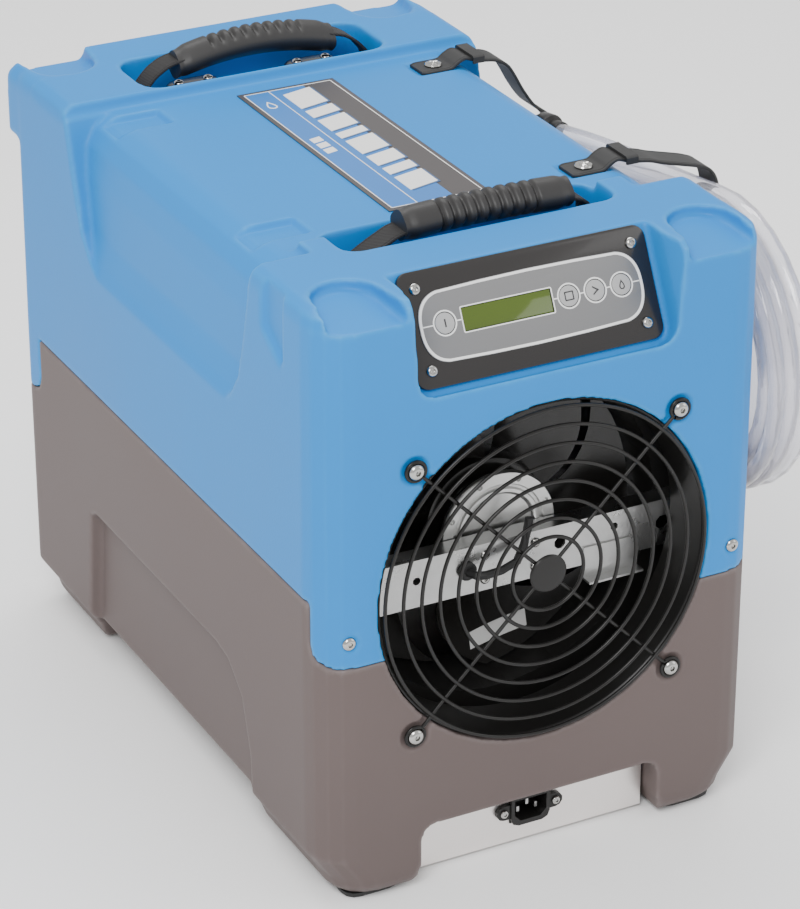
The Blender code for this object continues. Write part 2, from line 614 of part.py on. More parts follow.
# ---------------------------------------------------------------- outlet grille
GRILLE_Y = FRONT_Y - 0.0016
hub_disc = turned("fan_grille", [(HUB_R, -0.0008), (HUB_R, 0.0010)], (0, GRILLE_Y, FAN_Z), (0, 1, 0), "black_enamel",
                  seg=20)
for tilt in (45, -45):
    d = Vector((math.cos(math.radians(tilt)), 0, math.sin(math.radians(tilt))))
    reach = SCREW_SQ * math.sqrt(2) - 0.0050
    y = GRILLE_Y + (0.0019 if tilt > 0 else 0.0021)
    join(hub_disc, rod("stay", Vector((0, y, FAN_Z)) - d * reach, Vector((0, y, FAN_Z)) + d * reach, WIRE / 2, seg=6))
for k in range(RING_N):
    r = RING_R0 + k * RING_PITCH
    path = [(r * math.cos(2 * math.pi * i / 28), GRILLE_Y, FAN_Z + r * math.sin(2 * math.pi * i / 28)) for i in range(28)]
    join(hub_disc, sweep("ring", path, round_section(WIRE / 2, 4), up=(0, 1, 0), closed=True))
for sx in (-1, 1):
    for sz in (-1, 1):
        at = Vector((sx * SCREW_SQ, GRILLE_Y + 0.0020, FAN_Z + sz * SCREW_SQ))
        eye = turned("eye", [(0.0036, -0.0012), (0.0066, -0.0012), (0.0066, 0.0012), (0.0036, 0.0012)], at, (0, 1, 0),
                     seg=16, hole=True)
        join(hub_disc, eye)
fan_grille = hub_disc
for tag, sx, sz in (("tl", -1, 1), ("tr", 1, 1), ("bl", -1, -1), ("br", 1, -1)):
    shell = upper_shell if sz > 0 else lower_shell
    at = (sx * SCREW_SQ, GRILLE_Y + 0.0008, FAN_Z + sz * SCREW_SQ)
    screw("grille_screw_" + tag, at, (0, -1, 0), 0.0052, 0.0028, 0.0025, 0.0120, through=(shell,))

# ---------------------------------------------------------------- fan, its motor and bracket
BRACKET_Y = -0.2070
BRACKET_D = 0.0150
BRACKET_Z = 0.2030
BRACKET_H = 0.0350
BRACKET_HALF = 0.1390
SHEET = 0.0016
bracket = box("fan_bracket", (-BRACKET_HALF, BRACKET_Y, BRACKET_Z - BRACKET_H / 2),
              (BRACKET_HALF, BRACKET_Y + BRACKET_D, BRACKET_Z + BRACKET_H / 2), "zinc")
cut(bracket, box("channel", (-0.2, BRACKET_Y + SHEET, BRACKET_Z - BRACKET_H / 2 + SHEET),
                 (0.2, BRACKET_Y + 0.1, BRACKET_Z + BRACKET_H / 2 - SHEET)))
for hx, hz, hr in ((-0.1250, -0.004, 0.0045), (-0.0700, 0.002, 0.0030), (0.0380, 0.004, 0.0045), (0.0800, 0.006, 0.0030),
                   (0.1180, 0.000, 0.0055)):
    cut(bracket, rod("hole", (hx, BRACKET_Y - 0.01, BRACKET_Z + hz), (hx, BRACKET_Y + 0.006, BRACKET_Z + hz), hr, seg=8))
PLATE0 = BRACKET_Y + BRACKET_D + GAP
SHROUD_R = DUCT_R - 0.0045
shroud = box("fan_shroud", (-0.1480, PLATE0, 0.0780), (0.1480, PLATE0 + 0.0025, 0.3500), "black_plastic")
join(shroud, turned("throat", [(SHROUD_R + 0.003, 0.0), (SHROUD_R + 0.003, 0.050)], (0, PLATE0 + 0.001, FAN_Z),
                    (0, 1, 0), seg=40))
cut(shroud, turned("bore", [(SHROUD_R, 0.0), (SHROUD_R, 0.2)], (0, PLATE0 - 0.05, FAN_Z), (0, 1, 0), seg=40))
flange_y = PLATE0
motor = turned("fan_motor", [(0.0430, 0.0), (0.0430, 0.0040), (0.0300, 0.0060), (0.0300, 0.0180)],
               (0, flange_y, FAN_Z), (0, 1, 0), "zinc", seg=20)
for k in range(8):
    a = math.radians(22.5 + 45 * k)
    hx, hz = 0.0370 * math.cos(a), 0.0370 * math.sin(a)
    cut(motor, rod("hole", (hx, flange_y - 0.01, FAN_Z + hz), (hx, flange_y + 0.002, FAN_Z + hz), 0.0019, seg=8))
ROTOR_Y = flange_y + 0.0185
rotor = turned("fan_rotor", [(0.0440, 0.0), (0.0450, 0.0030), (0.0450, 0.0240), (0.0410, 0.0290)], (0, ROTOR_Y, FAN_Z),
               (0, 1, 0), "black_plastic", seg=20)
BLADES = 5
BLADE_TIP = SHROUD_R - 0.0035
for b in range(BLADES):
    rings = []
    for i in range(7):
        f = i / 6
        r = 0.0420 + (BLADE_TIP - 0.0420) * f
        sweep_a = math.radians(72 * b + 34 * f * f + 8 * f + BLADE_PHASE)
        half = math.radians(25 + 6 * f) * (1 - 0.10 * f)
        depth0, depth1 = 0.0030 + 0.002 * f, 0.0240 - 0.004 * f
        p = []
        for s in (-1, -0.33, 0.33, 1):
            a = sweep_a + half * s
            y = depth0 + (depth1 - depth0) * (s + 1) / 2 + 0.0016 * (1 - s * s)
            p.append((r * math.cos(a), ROTOR_Y + y, FAN_Z + r * math.sin(a)))
        ring = p + [(q[0], q[1] + 0.0020, q[2]) for q in reversed(p)]
        rings.append(ring)
    join(rotor, loft("blade", rings))
fan_rotor = rotor
set_origin(fan_rotor, (0, ROTOR_Y, FAN_Z))
for sx in (-1, 1):
    for sz in (-1, 1):
        at = Vector((sx * 0.0190, BRACKET_Y, BRACKET_Z + sz * 0.0090))
        cut(bracket, rod("hole", at - Vector((0, 0.01, 0)), at + Vector((0, 0.006, 0)), 0.0021, seg=8))
        head = turned("head", [(0.0018, -BRACKET_D - 0.0020), (0.0018, 0.0), (0.0036, 0.0), (0.0036, 0.0010), (0.0022, 0.0020)],
                      at - Vector((0, GAP, 0)), (0, -1, 0), seg=8)
        join(motor, head)
join(bracket, box("tab", (0.0560, BRACKET_Y - SHEET, BRACKET_Z - 0.0280), (0.0980, BRACKET_Y + 0.0002, BRACKET_Z - 0.0040)))
join(bracket, box("fold", (0.0560, BRACKET_Y - 0.010, BRACKET_Z - 0.0280), (0.0980, BRACKET_Y - 0.0010, BRACKET_Z - 0.0280 + SHEET)))
gx, gz = -0.0330, BRACKET_Z + 0.0010
grommet = turned("grommet", [(0.0066, 0.0), (0.0066, 0.0024), (0.0050, 0.0034)], (gx, BRACKET_Y - GAP, gz), (0, -1, 0),
                 seg=14)
CABLE_R = 0.0030
cut(bracket, rod("hole", (gx, BRACKET_Y - 0.01, gz), (gx, BRACKET_Y + 0.006, gz), 0.0045, seg=12))
cable = [(gx, BRACKET_Y + 0.0120, gz), (gx, BRACKET_Y - 0.0040, gz), (gx + 0.002, BRACKET_Y - 0.0095, gz),
         (gx + 0.008, BRACKET_Y - 0.0120, gz), (gx + 0.020, BRACKET_Y - 0.0125, gz + 0.001),
         (gx + 0.032, BRACKET_Y - 0.0110, gz + 0.004), (gx + 0.040, BRACKET_Y - 0.0060, gz + 0.012),
         (gx + 0.044, BRACKET_Y - 0.0040, gz + 0.0240), (gx + 0.045, BRACKET_Y - 0.0035, gz + 0.0300)]
motor_cable = sweep("motor_cable", cable, round_section(CABLE_R, 8), "black_rubber", up=(0, 0.3, 1))
join(motor_cable, grommet)

# ---------------------------------------------------------------- control panel
bezel = panel_plate("control_bezel", round_rect(-BEZEL_W / 2, BEZEL_W / 2, -BEZEL_H / 2, BEZEL_H / 2, [0.008] * 4, seg=4),
                    -BEZEL_T, 0.0, "gloss_black")
OVER_HALF, OVER_V, OVER_T = 0.0810, 0.0245, 0.0006
left = [(-OVER_HALF + 0.0150 * (s * s) ** 1.3, OVER_V * s) for s in (1.0, 0.8, 0.5, 0.0, -0.5, -0.8, -1.0)]
over_outline = left + [(-u, v) for u, v in reversed(left)]
overlay = panel_plate("control_overlay", over_outline, GAP, GAP + OVER_T, "overlay_grey")
lcd_hole = [(LCD_U0, LCD_V0), (LCD_U1, LCD_V0), (LCD_U1, LCD_V1), (LCD_U0, LCD_V1)]
big = [(LCD_U0 - GAP, LCD_V0 - GAP), (LCD_U1 + GAP, LCD_V0 - GAP), (LCD_U1 + GAP, LCD_V1 + GAP),
       (LCD_U0 - GAP, LCD_V1 + GAP)]
cut(overlay, panel_plate("w", big, -0.01, 0.01))
cut(bezel, panel_plate("w", big, -0.01, 0.01))
panel_plate("lcd_window", lcd_hole, -0.0022, 0.0002, "lcd_glass")
for u in KEY_U:
    for part in (overlay, bezel):
        cut(part, rod("kh", panel(u, KEY_V, -0.01), panel(u, KEY_V, 0.01), KEY_R + 0.0005, seg=16))
for tag, u in zip(("power", "set", "next", "pump"), KEY_U):
    key = turned("key_" + tag, [(KEY_R, -KEY_T), (KEY_R, -0.0003), (KEY_R - 0.0006, 0.0)], panel(u, KEY_V, 0.0013), PANEL_N,
                 "key_grey", seg=16)
    set_origin(key, panel(u, KEY_V, 0.0013))
cut(upper_shell, panel_plate("w", [(-0.0725, -0.0200), (0.0725, -0.0200), (0.0725, 0.0200), (-0.0725, 0.0200)], -0.03, 0.0))
BOARD_W = -(BEZEL_T + 0.0014)
panel_plate("control_board", [(-0.0710, -0.0185), (0.0710, -0.0185), (0.0710, 0.0185), (-0.0710, 0.0185)],
            BOARD_W - 0.0016, BOARD_W, "circuit")
for tag, su, sv in (("tl", -1, 1), ("tr", 1, 1), ("bl", -1, -1), ("br", 1, -1)):
    screw("bezel_screw_" + tag, panel(su * BEZEL_SX, sv * BEZEL_SV, 0.0), PANEL_N, 0.0036, 0.0020, 0.0016, 0.0075,
          through=(bezel, upper_shell))

# ---------------------------------------------------------------- deck label
box("deck_label", (-0.0377, -0.1060, DECK_Z + GAP), (0.0377, 0.1285, DECK_Z + GAP + 0.0005), "label_film")

# ---------------------------------------------------------------- carrying handles
SCREW_DX = 0.0115


def strap_loop(name, y, floor, rise, spread, shift, grow=0.0):
    """The webbing of a handle, as a flat band that loops out, up and over in the x-z plane."""
    centre = []
    for sx in (-1, 1):
        over = GRIP_LEN / 2 + sx * shift
        half = [(HANDLE_X - 0.0200, 0.0009), (HANDLE_X + 0.0240, 0.0009), (spread - 0.0070, 0.0022),
                (spread - 0.0012, 0.0070), (spread, 0.0130), (spread - 0.0035, 0.0190),
                (min(over + 0.0140, spread - 0.0060), rise - 0.0100), (over - 0.0060, rise - 0.0035)]
        if sx < 0:
            centre += [(-x, z) for x, z in half] + [(shift, rise)]
        else:
            centre += [(x, z) for x, z in reversed(half)]
    pts = [Vector((x, y, floor + GAP + z)) for x, z in centre]
    rings = []
    for i, p in enumerate(pts):
        t = (pts[min(i + 1, len(pts) - 1)] - pts[max(i - 1, 0)]).normalized()
        n = Vector((-t.z, 0, t.x)) * (STRAP_T / 2 + grow)
        w = Vector((0, HANDLE_STRAP_W / 2 + grow, 0))
        rings.append([p - w - n, p + w - n, p + w + n, p - w + n])
    return loft(name, rings, "webbing")


def grip_body(tag, y, floor, rise, shift, end_drop):
    rings = []
    steps = 16
    for i in range(steps + 1):
        f = i / steps
        x = (f - 0.5) * GRIP_LEN + shift
        z = floor + GAP + rise - end_drop * (2 * f - 1) ** 2
        end = min(f, 1 - f) * GRIP_LEN
        r = GRIP_R * (0.86 + 0.14 * min(1.0, end / 0.012))
        ring = []
        for k in range(12):
            a = 2 * math.pi * k / 12
            ring.append((x, y + r * math.cos(a) * 1.08, z + r * 0.92 * math.sin(a)))
        rings.append(ring)
    return loft("handle_grip_" + tag, rings, "black_rubber")


def build_handle(tag, y, floor, rise, spread, shift, end_drop):
    for side_tag, sx in (("l", -1), ("r", 1)):
        mid = sx * HANDLE_X
        cap = box("handle_cap_%s%s" % (tag, side_tag), (mid - 0.0230, y - 0.0140, floor + 0.0028),
                  (mid + 0.0230, y + 0.0140, floor + 0.0100), "gloss_black", bevel=0.0026, segments=2)
        for dx in (-SCREW_DX, SCREW_DX):
            at = Vector((mid + dx, y, floor + 0.0096))
            cut(upper_shell, rod("sh", at - Vector((0, 0, 0.03)), at + Vector((0, 0, 0.02)), 0.0020 + GAP, seg=8))
            join(cap, turned("screw", [(0.0020, -0.0180), (0.0020, 0.0), (0.0042, 0.0), (0.0042, 0.0012),
                                       (0.0025, 0.0024)], at, (0, 0, 1), seg=8))
    strap = strap_loop("handle_strap_" + tag, y, floor, rise, spread, shift)
    for sx in (-1, 1):
        for dx in (-SCREW_DX, SCREW_DX):
            at = Vector((sx * HANDLE_X + dx, y, floor))
            cut(strap, rod("sh", at - Vector((0, 0, 0.004)), at + Vector((0, 0, 0.006)), 0.0023 + GAP, seg=10))
    grip = grip_body(tag, y, floor, rise, shift, end_drop)
    cut(grip, strap_loop("sleeve", y, floor, rise, spread, shift, grow=GAP))
    return strap, grip


FRONT_HANDLE_Y = (TRENCH_Y0 + TRENCH_Y1) / 2
REAR_HANDLE_Y = (RECESS_Y0 + RECESS_Y1) / 2
FRONT_SPREAD = TRENCH_W / 2 - 0.0080
REAR_SPREAD = RECESS_W / 2 - 0.0030
build_handle("front", FRONT_HANDLE_Y, TRENCH_Z, DECK_Z + 0.0100 - TRENCH_Z, FRONT_SPREAD, FRONT_SHIFT, FRONT_DROP)
build_handle("rear", REAR_HANDLE_Y, RECESS_Z, BLOCK_Z + 0.0120 - RECESS_Z, REAR_SPREAD, 0.0, REAR_DROP)

# ---------------------------------------------------------------- hose straps, rivets, hose
for tag, sy in zip(("front", "rear"), STRAP_Y):
    base = DECK_Z - 0.0020 + GAP
    hold = 0.4000 if tag == "front" else 0.3640      # top of the coil under the strap
    reach = HALF + 0.0525
    line = [(RIVET_X - 0.0140, 0.0), (RIVET_X + 0.0090, 0.0), (RIVET_X + 0.0140, 0.0030), (RIVET_X + 0.0200, 0.0062),
            (RIVET_X + 0.0260, 0.0045), (RIVET_X + 0.0340, 0.0030), (HALF - 0.0040, 0.0010)]
    pts = [(x, sy, base + z) for x, z in line]
    pts += [(HALF + 0.0080, sy, base - 0.0060), (HALF + 0.0280, sy, (base + hold) / 2 + 0.0060),
            (reach - 0.0090, sy, hold + 0.0080), (reach - 0.0010, sy, hold - 0.0060), (reach + 0.0010, sy, hold - 0.0260)]
    strap = sweep("hose_strap_" + tag, pts, rect_section(STRAP_W, 0.0020), "black_rubber", up=(0, 0, 1))
    join(strap, box("keeper", (RIVET_X + 0.0270, sy - STRAP_W / 2 - 0.0016, base + 0.0028),
                    (RIVET_X + 0.0370, sy + STRAP_W / 2 + 0.0016, base + 0.0070)))
    screw("strap_rivet_" + tag, (RIVET_X, sy, base + 0.0020), (0, 0, 1), 0.0060, 0.0024, 0.0022, 0.0130,
          through=(strap, upper_shell))

HOSE_FRONT = (-0.1400, 0.2960)    # centres of the two ends of the oval coil, y and z
HOSE_REAR = (0.0850, 0.2600)
HOSE_X0 = HALF + 0.0120
HOSE_LAYERS = 3
HOSE_ROWS = 3
HOSE_OUT = 0.1010


def oval(radius, t):
    """A point on the coil's oval, t from 0 to 1, starting at the front of the lower run."""
    (ya, za), (yb, zb) = HOSE_FRONT, HOSE_REAR
    run = math.hypot(yb - ya, zb - za)
    tilt = math.atan2(zb - za, yb - ya)
    total = 2 * run + 2 * math.pi * radius
    s = t * total
    if s < run:
        p, q = s, -radius
    elif s < run + math.pi * radius:
        a = (s - run) / radius - math.pi / 2
        p, q = run + radius * math.cos(a), radius * math.sin(a)
    elif s < 2 * run + math.pi * radius:
        p, q = run - (s - run - math.pi * radius), radius
    else:
        a = (s - 2 * run - math.pi * radius) / radius + math.pi / 2
        p, q = radius * math.cos(a), radius * math.sin(a)
    c, d = math.cos(tilt), math.sin(tilt)
    return ya + p * c - q * d, za + p * d + q * c


rings = []
for i in range(28):
    y_in, z_in = oval(HOSE_OUT - (HOSE_ROWS - 1) * HOSE_D - 0.007, i / 28)
    y_out, z_out = oval(HOSE_OUT + 0.006, i / 28)
    x_in, x_out = HOSE_X0, HOSE_X0 + HOSE_LAYERS * HOSE_D
    rings.append([(x_in, y_in, z_in), (x_out, y_in, z_in), (x_out, y_out, z_out), (x_in, y_out, z_out)])
loft("drain_hose", rings, "clear_vinyl", closed=True)

# ---------------------------------------------------------------- rear intake: grille and filter
IN_W, IN_Z0, IN_Z1 = INTAKE_W / 2 - 0.0008, INTAKE_Z0 + 0.0008, INTAKE_Z1 - 0.0008
SEAT_Y = REAR_Y - INTAKE_DEPTH + GAP
grille = box("intake_grille", (-IN_W, SEAT_Y, IN_Z0), (IN_W, SEAT_Y + 0.0030, IN_Z1), "black_plastic")
for row in range(9):
    z = IN_Z0 + 0.016 + row * 0.0270
    for col in range(3):
        x = (col - 1) * 0.0720
        cut(grille, box("slot", (x - 0.0320, SEAT_Y - 0.01, z), (x + 0.0320, SEAT_Y + 0.01, z + 0.0210)))
FRAME_Y = SEAT_Y + 0.0030 + GAP
frame = box("filter_frame", (-IN_W + 0.0010, FRAME_Y, IN_Z0 + 0.0010), (IN_W - 0.0010, FRAME_Y + FILTER_T, IN_Z1 - 0.0010),
            "black_plastic")
cut(frame, box("win", (-IN_W + 0.0120, FRAME_Y - 0.01, IN_Z0 + 0.0120), (IN_W - 0.0120, FRAME_Y + 0.05, IN_Z1 - 0.0120)))
for bx in (-0.0370, 0.0370):
    join(frame, box("bar", (bx - 0.0020, FRAME_Y + FILTER_T - 0.0030, IN_Z0 + 0.0100),
                    (bx + 0.0020, FRAME_Y + FILTER_T - 0.0002, IN_Z1 - 0.0100)))
join(frame, box("tab", (-0.0180, FRAME_Y + FILTER_T - 0.0030, IN_Z1 - 0.0120), (0.0180, FRAME_Y + FILTER_T + 0.0050,
                                                                                IN_Z1 - 0.0090)))
pleats, top_line, low_line = 24, [], []
for i in range(pleats + 1):
    x = -IN_W + 0.0126 + (2 * IN_W - 0.0252) * i / pleats
    y = FRAME_Y + (0.0010 if i % 2 else 0.0070)
    low_line.append((x, y))
    top_line.append((x, y + 0.0012))
extrude("filter_media", low_line + top_line[::-1], "z", IN_Z0 + 0.0124, IN_Z1 - 0.0124, "filter_media")

# ---------------------------------------------------------------- machine inside
BASE_Z = FLOOR_TOP + GAP
evap = box("evaporator", (-0.1180, 0.1660, BASE_Z + 0.0200), (0.1180, 0.2060, 0.3300), "aluminium")
for k in range(5):
    z = 0.1000 + k * 0.0450
    join(evap, rod("bend", (-0.1280, 0.1860, z), (0.1280, 0.1860, z), 0.0048, seg=8))
cond = box("condenser", (-0.1200, -0.1050, BASE_Z + 0.0200), (0.1200, -0.0700, 0.3300), "aluminium")
for k in range(5):
    z = 0.1000 + k * 0.0450
    join(cond, rod("bend", (-0.1300, -0.0875, z), (0.1300, -0.0875, z), 0.0048, seg=8))
for coil_block, y in ((evap, 0.1860), (cond, -0.0875)):
    join(coil_block, box("sill", (-0.1240, y - 0.0160, BASE_Z), (0.1240, y + 0.0160, BASE_Z + 0.0210)))
COMP = (-0.0600, 0.0400)
compressor = turned("compressor", [(0.0300, 0.0), (0.0480, 0.0060), (0.0520, 0.0140), (0.0520, 0.1500), (0.0440, 0.1700),
                                   (0.0200, 0.1800)], (COMP[0], COMP[1], BASE_Z + 0.0145), (0, 0, 1), "black_enamel", seg=24)
join(compressor, box("foot", (COMP[0] - 0.0600, COMP[1] - 0.0600, BASE_Z + 0.0120), (COMP[0] + 0.0600, COMP[1] + 0.0600,
                                                                                 BASE_Z + 0.0150)))
for dx in (-1, 1):
    for dy in (-1, 1):
        at = (COMP[0] + dx * 0.0500, COMP[1] + dy * 0.0500, BASE_Z)
        join(compressor, turned("mount", [(0.0090, 0.0), (0.0090, 0.0125)], at, (0, 0, 1), seg=10))
box("heat_exchanger", (0.0120, -0.0560, BASE_Z + 0.0040), (0.1360, 0.0980, 0.2700), "core_plastic")
pump = turned("condensate_pump", [(0.0300, 0.0), (0.0320, 0.0040), (0.0320, 0.0500), (0.0180, 0.0520), (0.0180, 0.0900),
                                  (0.0120, 0.0940)], (0.1000, 0.1320, BASE_Z), (0, 0, 1), "white_plastic", seg=20)
PIPE = 0.0040
top = BASE_Z + 0.0145 + 0.1800
discharge = [(COMP[0], COMP[1], top + GAP), (COMP[0], COMP[1], top + 0.0300), (COMP[0] - 0.010, COMP[1], top + 0.0400),
             (-0.1400 + 0.010, COMP[1], top + 0.0400), (-0.1400, COMP[1] - 0.010, top + 0.0400),
             (-0.1400, -0.0875 + 0.010, top + 0.0400), (-0.1400, -0.0875, top + 0.0300), (-0.1400, -0.0875, 0.2910)]
sweep("discharge_pipe", discharge, round_section(PIPE, 8), "copper", up=(0.3, 0.5, 1))

# ---------------------------------------------------------------- drain outlet on the right side
OUTLET_Y, OUTLET_Z = 0.1500, 0.1600
cut(lower_shell, rod("hole", (HALF - 0.03, OUTLET_Y, OUTLET_Z), (HALF + 0.02, OUTLET_Y, OUTLET_Z), 0.0082, seg=16))
outlet = turned("drain_outlet", [(0.0080, 0.0), (0.0080, 0.0220), (0.0120, 0.0220), (0.0120, 0.0260), (0.0060, 0.0290),
                                 (0.0048, 0.0440), (0.0040, 0.0440)],
                (HALF - 0.0220 + GAP, OUTLET_Y, OUTLET_Z), (1, 0, 0), "black_plastic", seg=16)

for obj in list(bpy.context.scene.objects):
    if obj.type != "MESH":
        continue
    view = bpy.context.view_layer
    view.objects.active = obj
    obj.select_set(True)
    bpy.ops.object.shade_smooth()
    obj.data.set_sharp_from_angle(angle=math.radians(35))
    obj.select_set(False)
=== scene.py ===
import math

import bmesh
import bpy
import numpy as np
from mathutils import Matrix, Vector
from mathutils.geometry import interpolate_bezier


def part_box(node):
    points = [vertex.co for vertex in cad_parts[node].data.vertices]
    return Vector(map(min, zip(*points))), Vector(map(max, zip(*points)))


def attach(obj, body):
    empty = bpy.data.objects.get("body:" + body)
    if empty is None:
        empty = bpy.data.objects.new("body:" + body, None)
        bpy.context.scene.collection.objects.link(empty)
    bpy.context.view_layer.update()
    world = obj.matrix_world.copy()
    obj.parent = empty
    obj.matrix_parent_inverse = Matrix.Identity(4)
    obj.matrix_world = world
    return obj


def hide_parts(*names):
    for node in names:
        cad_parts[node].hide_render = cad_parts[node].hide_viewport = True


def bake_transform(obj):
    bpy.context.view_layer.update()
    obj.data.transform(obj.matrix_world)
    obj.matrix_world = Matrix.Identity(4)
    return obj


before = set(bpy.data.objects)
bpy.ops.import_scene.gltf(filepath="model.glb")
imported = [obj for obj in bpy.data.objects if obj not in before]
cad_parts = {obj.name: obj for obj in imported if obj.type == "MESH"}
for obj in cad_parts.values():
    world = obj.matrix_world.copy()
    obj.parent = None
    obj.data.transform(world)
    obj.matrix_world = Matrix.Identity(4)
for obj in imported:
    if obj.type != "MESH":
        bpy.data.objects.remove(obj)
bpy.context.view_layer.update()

# ---------------------------------------------------------------- the room and the camera
# A plain pale floor under soft studio light: one large key light up and to the left, a weaker
# fill from the right and a long strip overhead for the gloss on the steel and the panel.
scene = bpy.context.scene
floor_mesh = bpy.data.meshes.new("studio_floor")
floor_mesh.from_pydata([(-9, -9, 0), (9, -9, 0), (9, 9, 0), (-9, 9, 0)], [], [(0, 1, 2, 3)])
studio_floor = bpy.data.objects.new("studio_floor", floor_mesh)
scene.collection.objects.link(studio_floor)
paper = bpy.data.materials.new("studio_paper")
paper.use_nodes = True
paper.node_tree.nodes["Principled BSDF"].inputs["Base Color"].default_value = (0.97, 0.97, 0.97, 1)
paper.node_tree.nodes["Principled BSDF"].inputs["Roughness"].default_value = 0.9
floor_mesh.materials.append(paper)

sky = bpy.data.worlds.new("studio_sky")
sky.use_nodes = True
sky.node_tree.nodes["Background"].inputs["Color"].default_value = (1.0, 1.0, 1.0, 1)
sky.node_tree.nodes["Background"].inputs["Strength"].default_value = 1.05
scene.world = sky


def soft_light(name, at, aim, width, height, watts):
    lamp = bpy.data.lights.new(name, "AREA")
    lamp.shape = "RECTANGLE"
    lamp.size, lamp.size_y, lamp.energy = width, height, watts
    holder = bpy.data.objects.new(name, lamp)
    holder.location = at
    holder.rotation_euler = (Vector(aim) - Vector(at)).to_track_quat("-Z", "Y").to_euler()
    scene.collection.objects.link(holder)


soft_light("key_light", (-1.3, -1.6, 2.2), (0, 0, 0.25), 1.2, 1.2, 60)
soft_light("fill_light", (2.2, -1.5, 1.4), (0, 0, 0.2), 1.6, 1.6, 14)
soft_light("top_strip", (0.2, 0.9, 2.4), (0, 0, 0.3), 2.4, 0.5, 34)

lens = bpy.data.cameras.new("camera")
lens.sensor_fit = "VERTICAL"
lens.sensor_height = 36.0
lens.lens = 141.0
lens.clip_end = 60
eye = bpy.data.objects.new("camera", lens)
look, right = Vector((0.4117, 0.7907, -0.4534)).normalized(), Vector((0.8870, -0.4617, 0.0)).normalized()
upward = right.cross(look).normalized()
turn = Matrix((right, upward, -look)).transposed().to_4x4()
eye.matrix_world = Matrix.Translation((-1.0231, -2.0140, 1.3375)) @ turn
scene.collection.objects.link(eye)
scene.camera = eye


# ---------------------------------------------------------------- drain hose
# Clear flexible vinyl tube, 12 mm across and 9 m (30 ft) long. It leaves an elbow on the right
# side, is wound nine times round an oval in three rows, and ends on top in a black coupling.
def finish(name, colour, rough, metal=0.0, vary=0.05, scale=7.0, grain=700.0, relief=0.0002, bump=0.25,
           smudge=0.06, worn=None, **fixed):
    """A material whose colour drifts over the piece, whose gloss is uneven and whose skin has a grain."""
    mat = bpy.data.materials.new(name)
    mat.use_nodes = True
    mat.diffuse_color = (*colour, 1)
    nodes, links = mat.node_tree.nodes, mat.node_tree.links
    skin = nodes["Principled BSDF"]
    place = nodes.new("ShaderNodeTexCoord")
    cloud = nodes.new("ShaderNodeTexNoise")
    cloud.inputs["Scale"].default_value = scale
    cloud.inputs["Detail"].default_value = 5
    links.new(place.outputs["Object"], cloud.inputs["Vector"])
    tint = nodes.new("ShaderNodeMix")
    tint.data_type = "RGBA"
    tint.inputs[6].default_value = (*[max(0.0, c * (1 - vary)) for c in colour], 1)
    tint.inputs[7].default_value = (*[min(1.0, c * (1 + vary)) for c in colour], 1)
    links.new(cloud.outputs["Fac"], tint.inputs["Factor"])
    last = tint.outputs[2]
    if worn:
        edge_colour, low, high = worn
        shape = nodes.new("ShaderNodeNewGeometry")
        rub = nodes.new("ShaderNodeMapRange")
        rub.inputs["From Min"].default_value = low
        rub.inputs["From Max"].default_value = high
        scuff = nodes.new("ShaderNodeTexNoise")
        scuff.inputs["Scale"].default_value = 55
        scuff.inputs["Detail"].default_value = 6
        links.new(place.outputs["Object"], scuff.inputs["Vector"])
        both = nodes.new("ShaderNodeMath")
        both.operation = "MULTIPLY"
        links.new(shape.outputs["Pointiness"], rub.inputs["Value"])
        links.new(rub.outputs["Result"], both.inputs[0])
        links.new(scuff.outputs["Fac"], both.inputs[1])
        edge = nodes.new("ShaderNodeMix")
        edge.data_type = "RGBA"
        edge.inputs[7].default_value = (*edge_colour, 1)
        links.new(both.outputs[0], edge.inputs["Factor"])
        links.new(last, edge.inputs[6])
        last = edge.outputs[2]
    links.new(last, skin.inputs["Base Color"])
    gloss = nodes.new("ShaderNodeMapRange")
    gloss.inputs["To Min"].default_value = max(0.02, rough - smudge)
    gloss.inputs["To Max"].default_value = min(1.0, rough + smudge)
    links.new(cloud.outputs["Fac"], gloss.inputs["Value"])
    links.new(gloss.outputs["Result"], skin.inputs["Roughness"])
    fine = nodes.new("ShaderNodeTexNoise")
    fine.inputs["Scale"].default_value = grain
    fine.inputs["Detail"].default_value = 3
    links.new(place.outputs["Object"], fine.inputs["Vector"])
    raised = nodes.new("ShaderNodeBump")
    raised.inputs["Strength"].default_value = bump
    raised.inputs["Distance"].default_value = relief
    links.new(fine.outputs["Fac"], raised.inputs["Height"])
    links.new(raised.outputs["Normal"], skin.inputs["Normal"])
    skin.inputs["Metallic"].default_value = metal
    for socket, value in fixed.items():
        skin.inputs[socket.replace("_", " ")].default_value = value
    return mat


def piece(name, mesh, body, slot, mat, *stands_for, crease=35):
    """A finished mesh made a piece of the model: shaded, given its finish and fixed to its body."""
    thing = bpy.data.objects.new(name, mesh)
    scene.collection.objects.link(thing)
    mesh.name = name
    mesh.shade_smooth()
    mesh.set_sharp_from_angle(angle=math.radians(crease))
    mesh.materials.clear()
    mesh.materials.append(mat)
    for poly in mesh.polygons:
        poly.material_index = 0
    if body:
        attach(thing, body)
    if stands_for:
        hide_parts(*stands_for)
    return thing


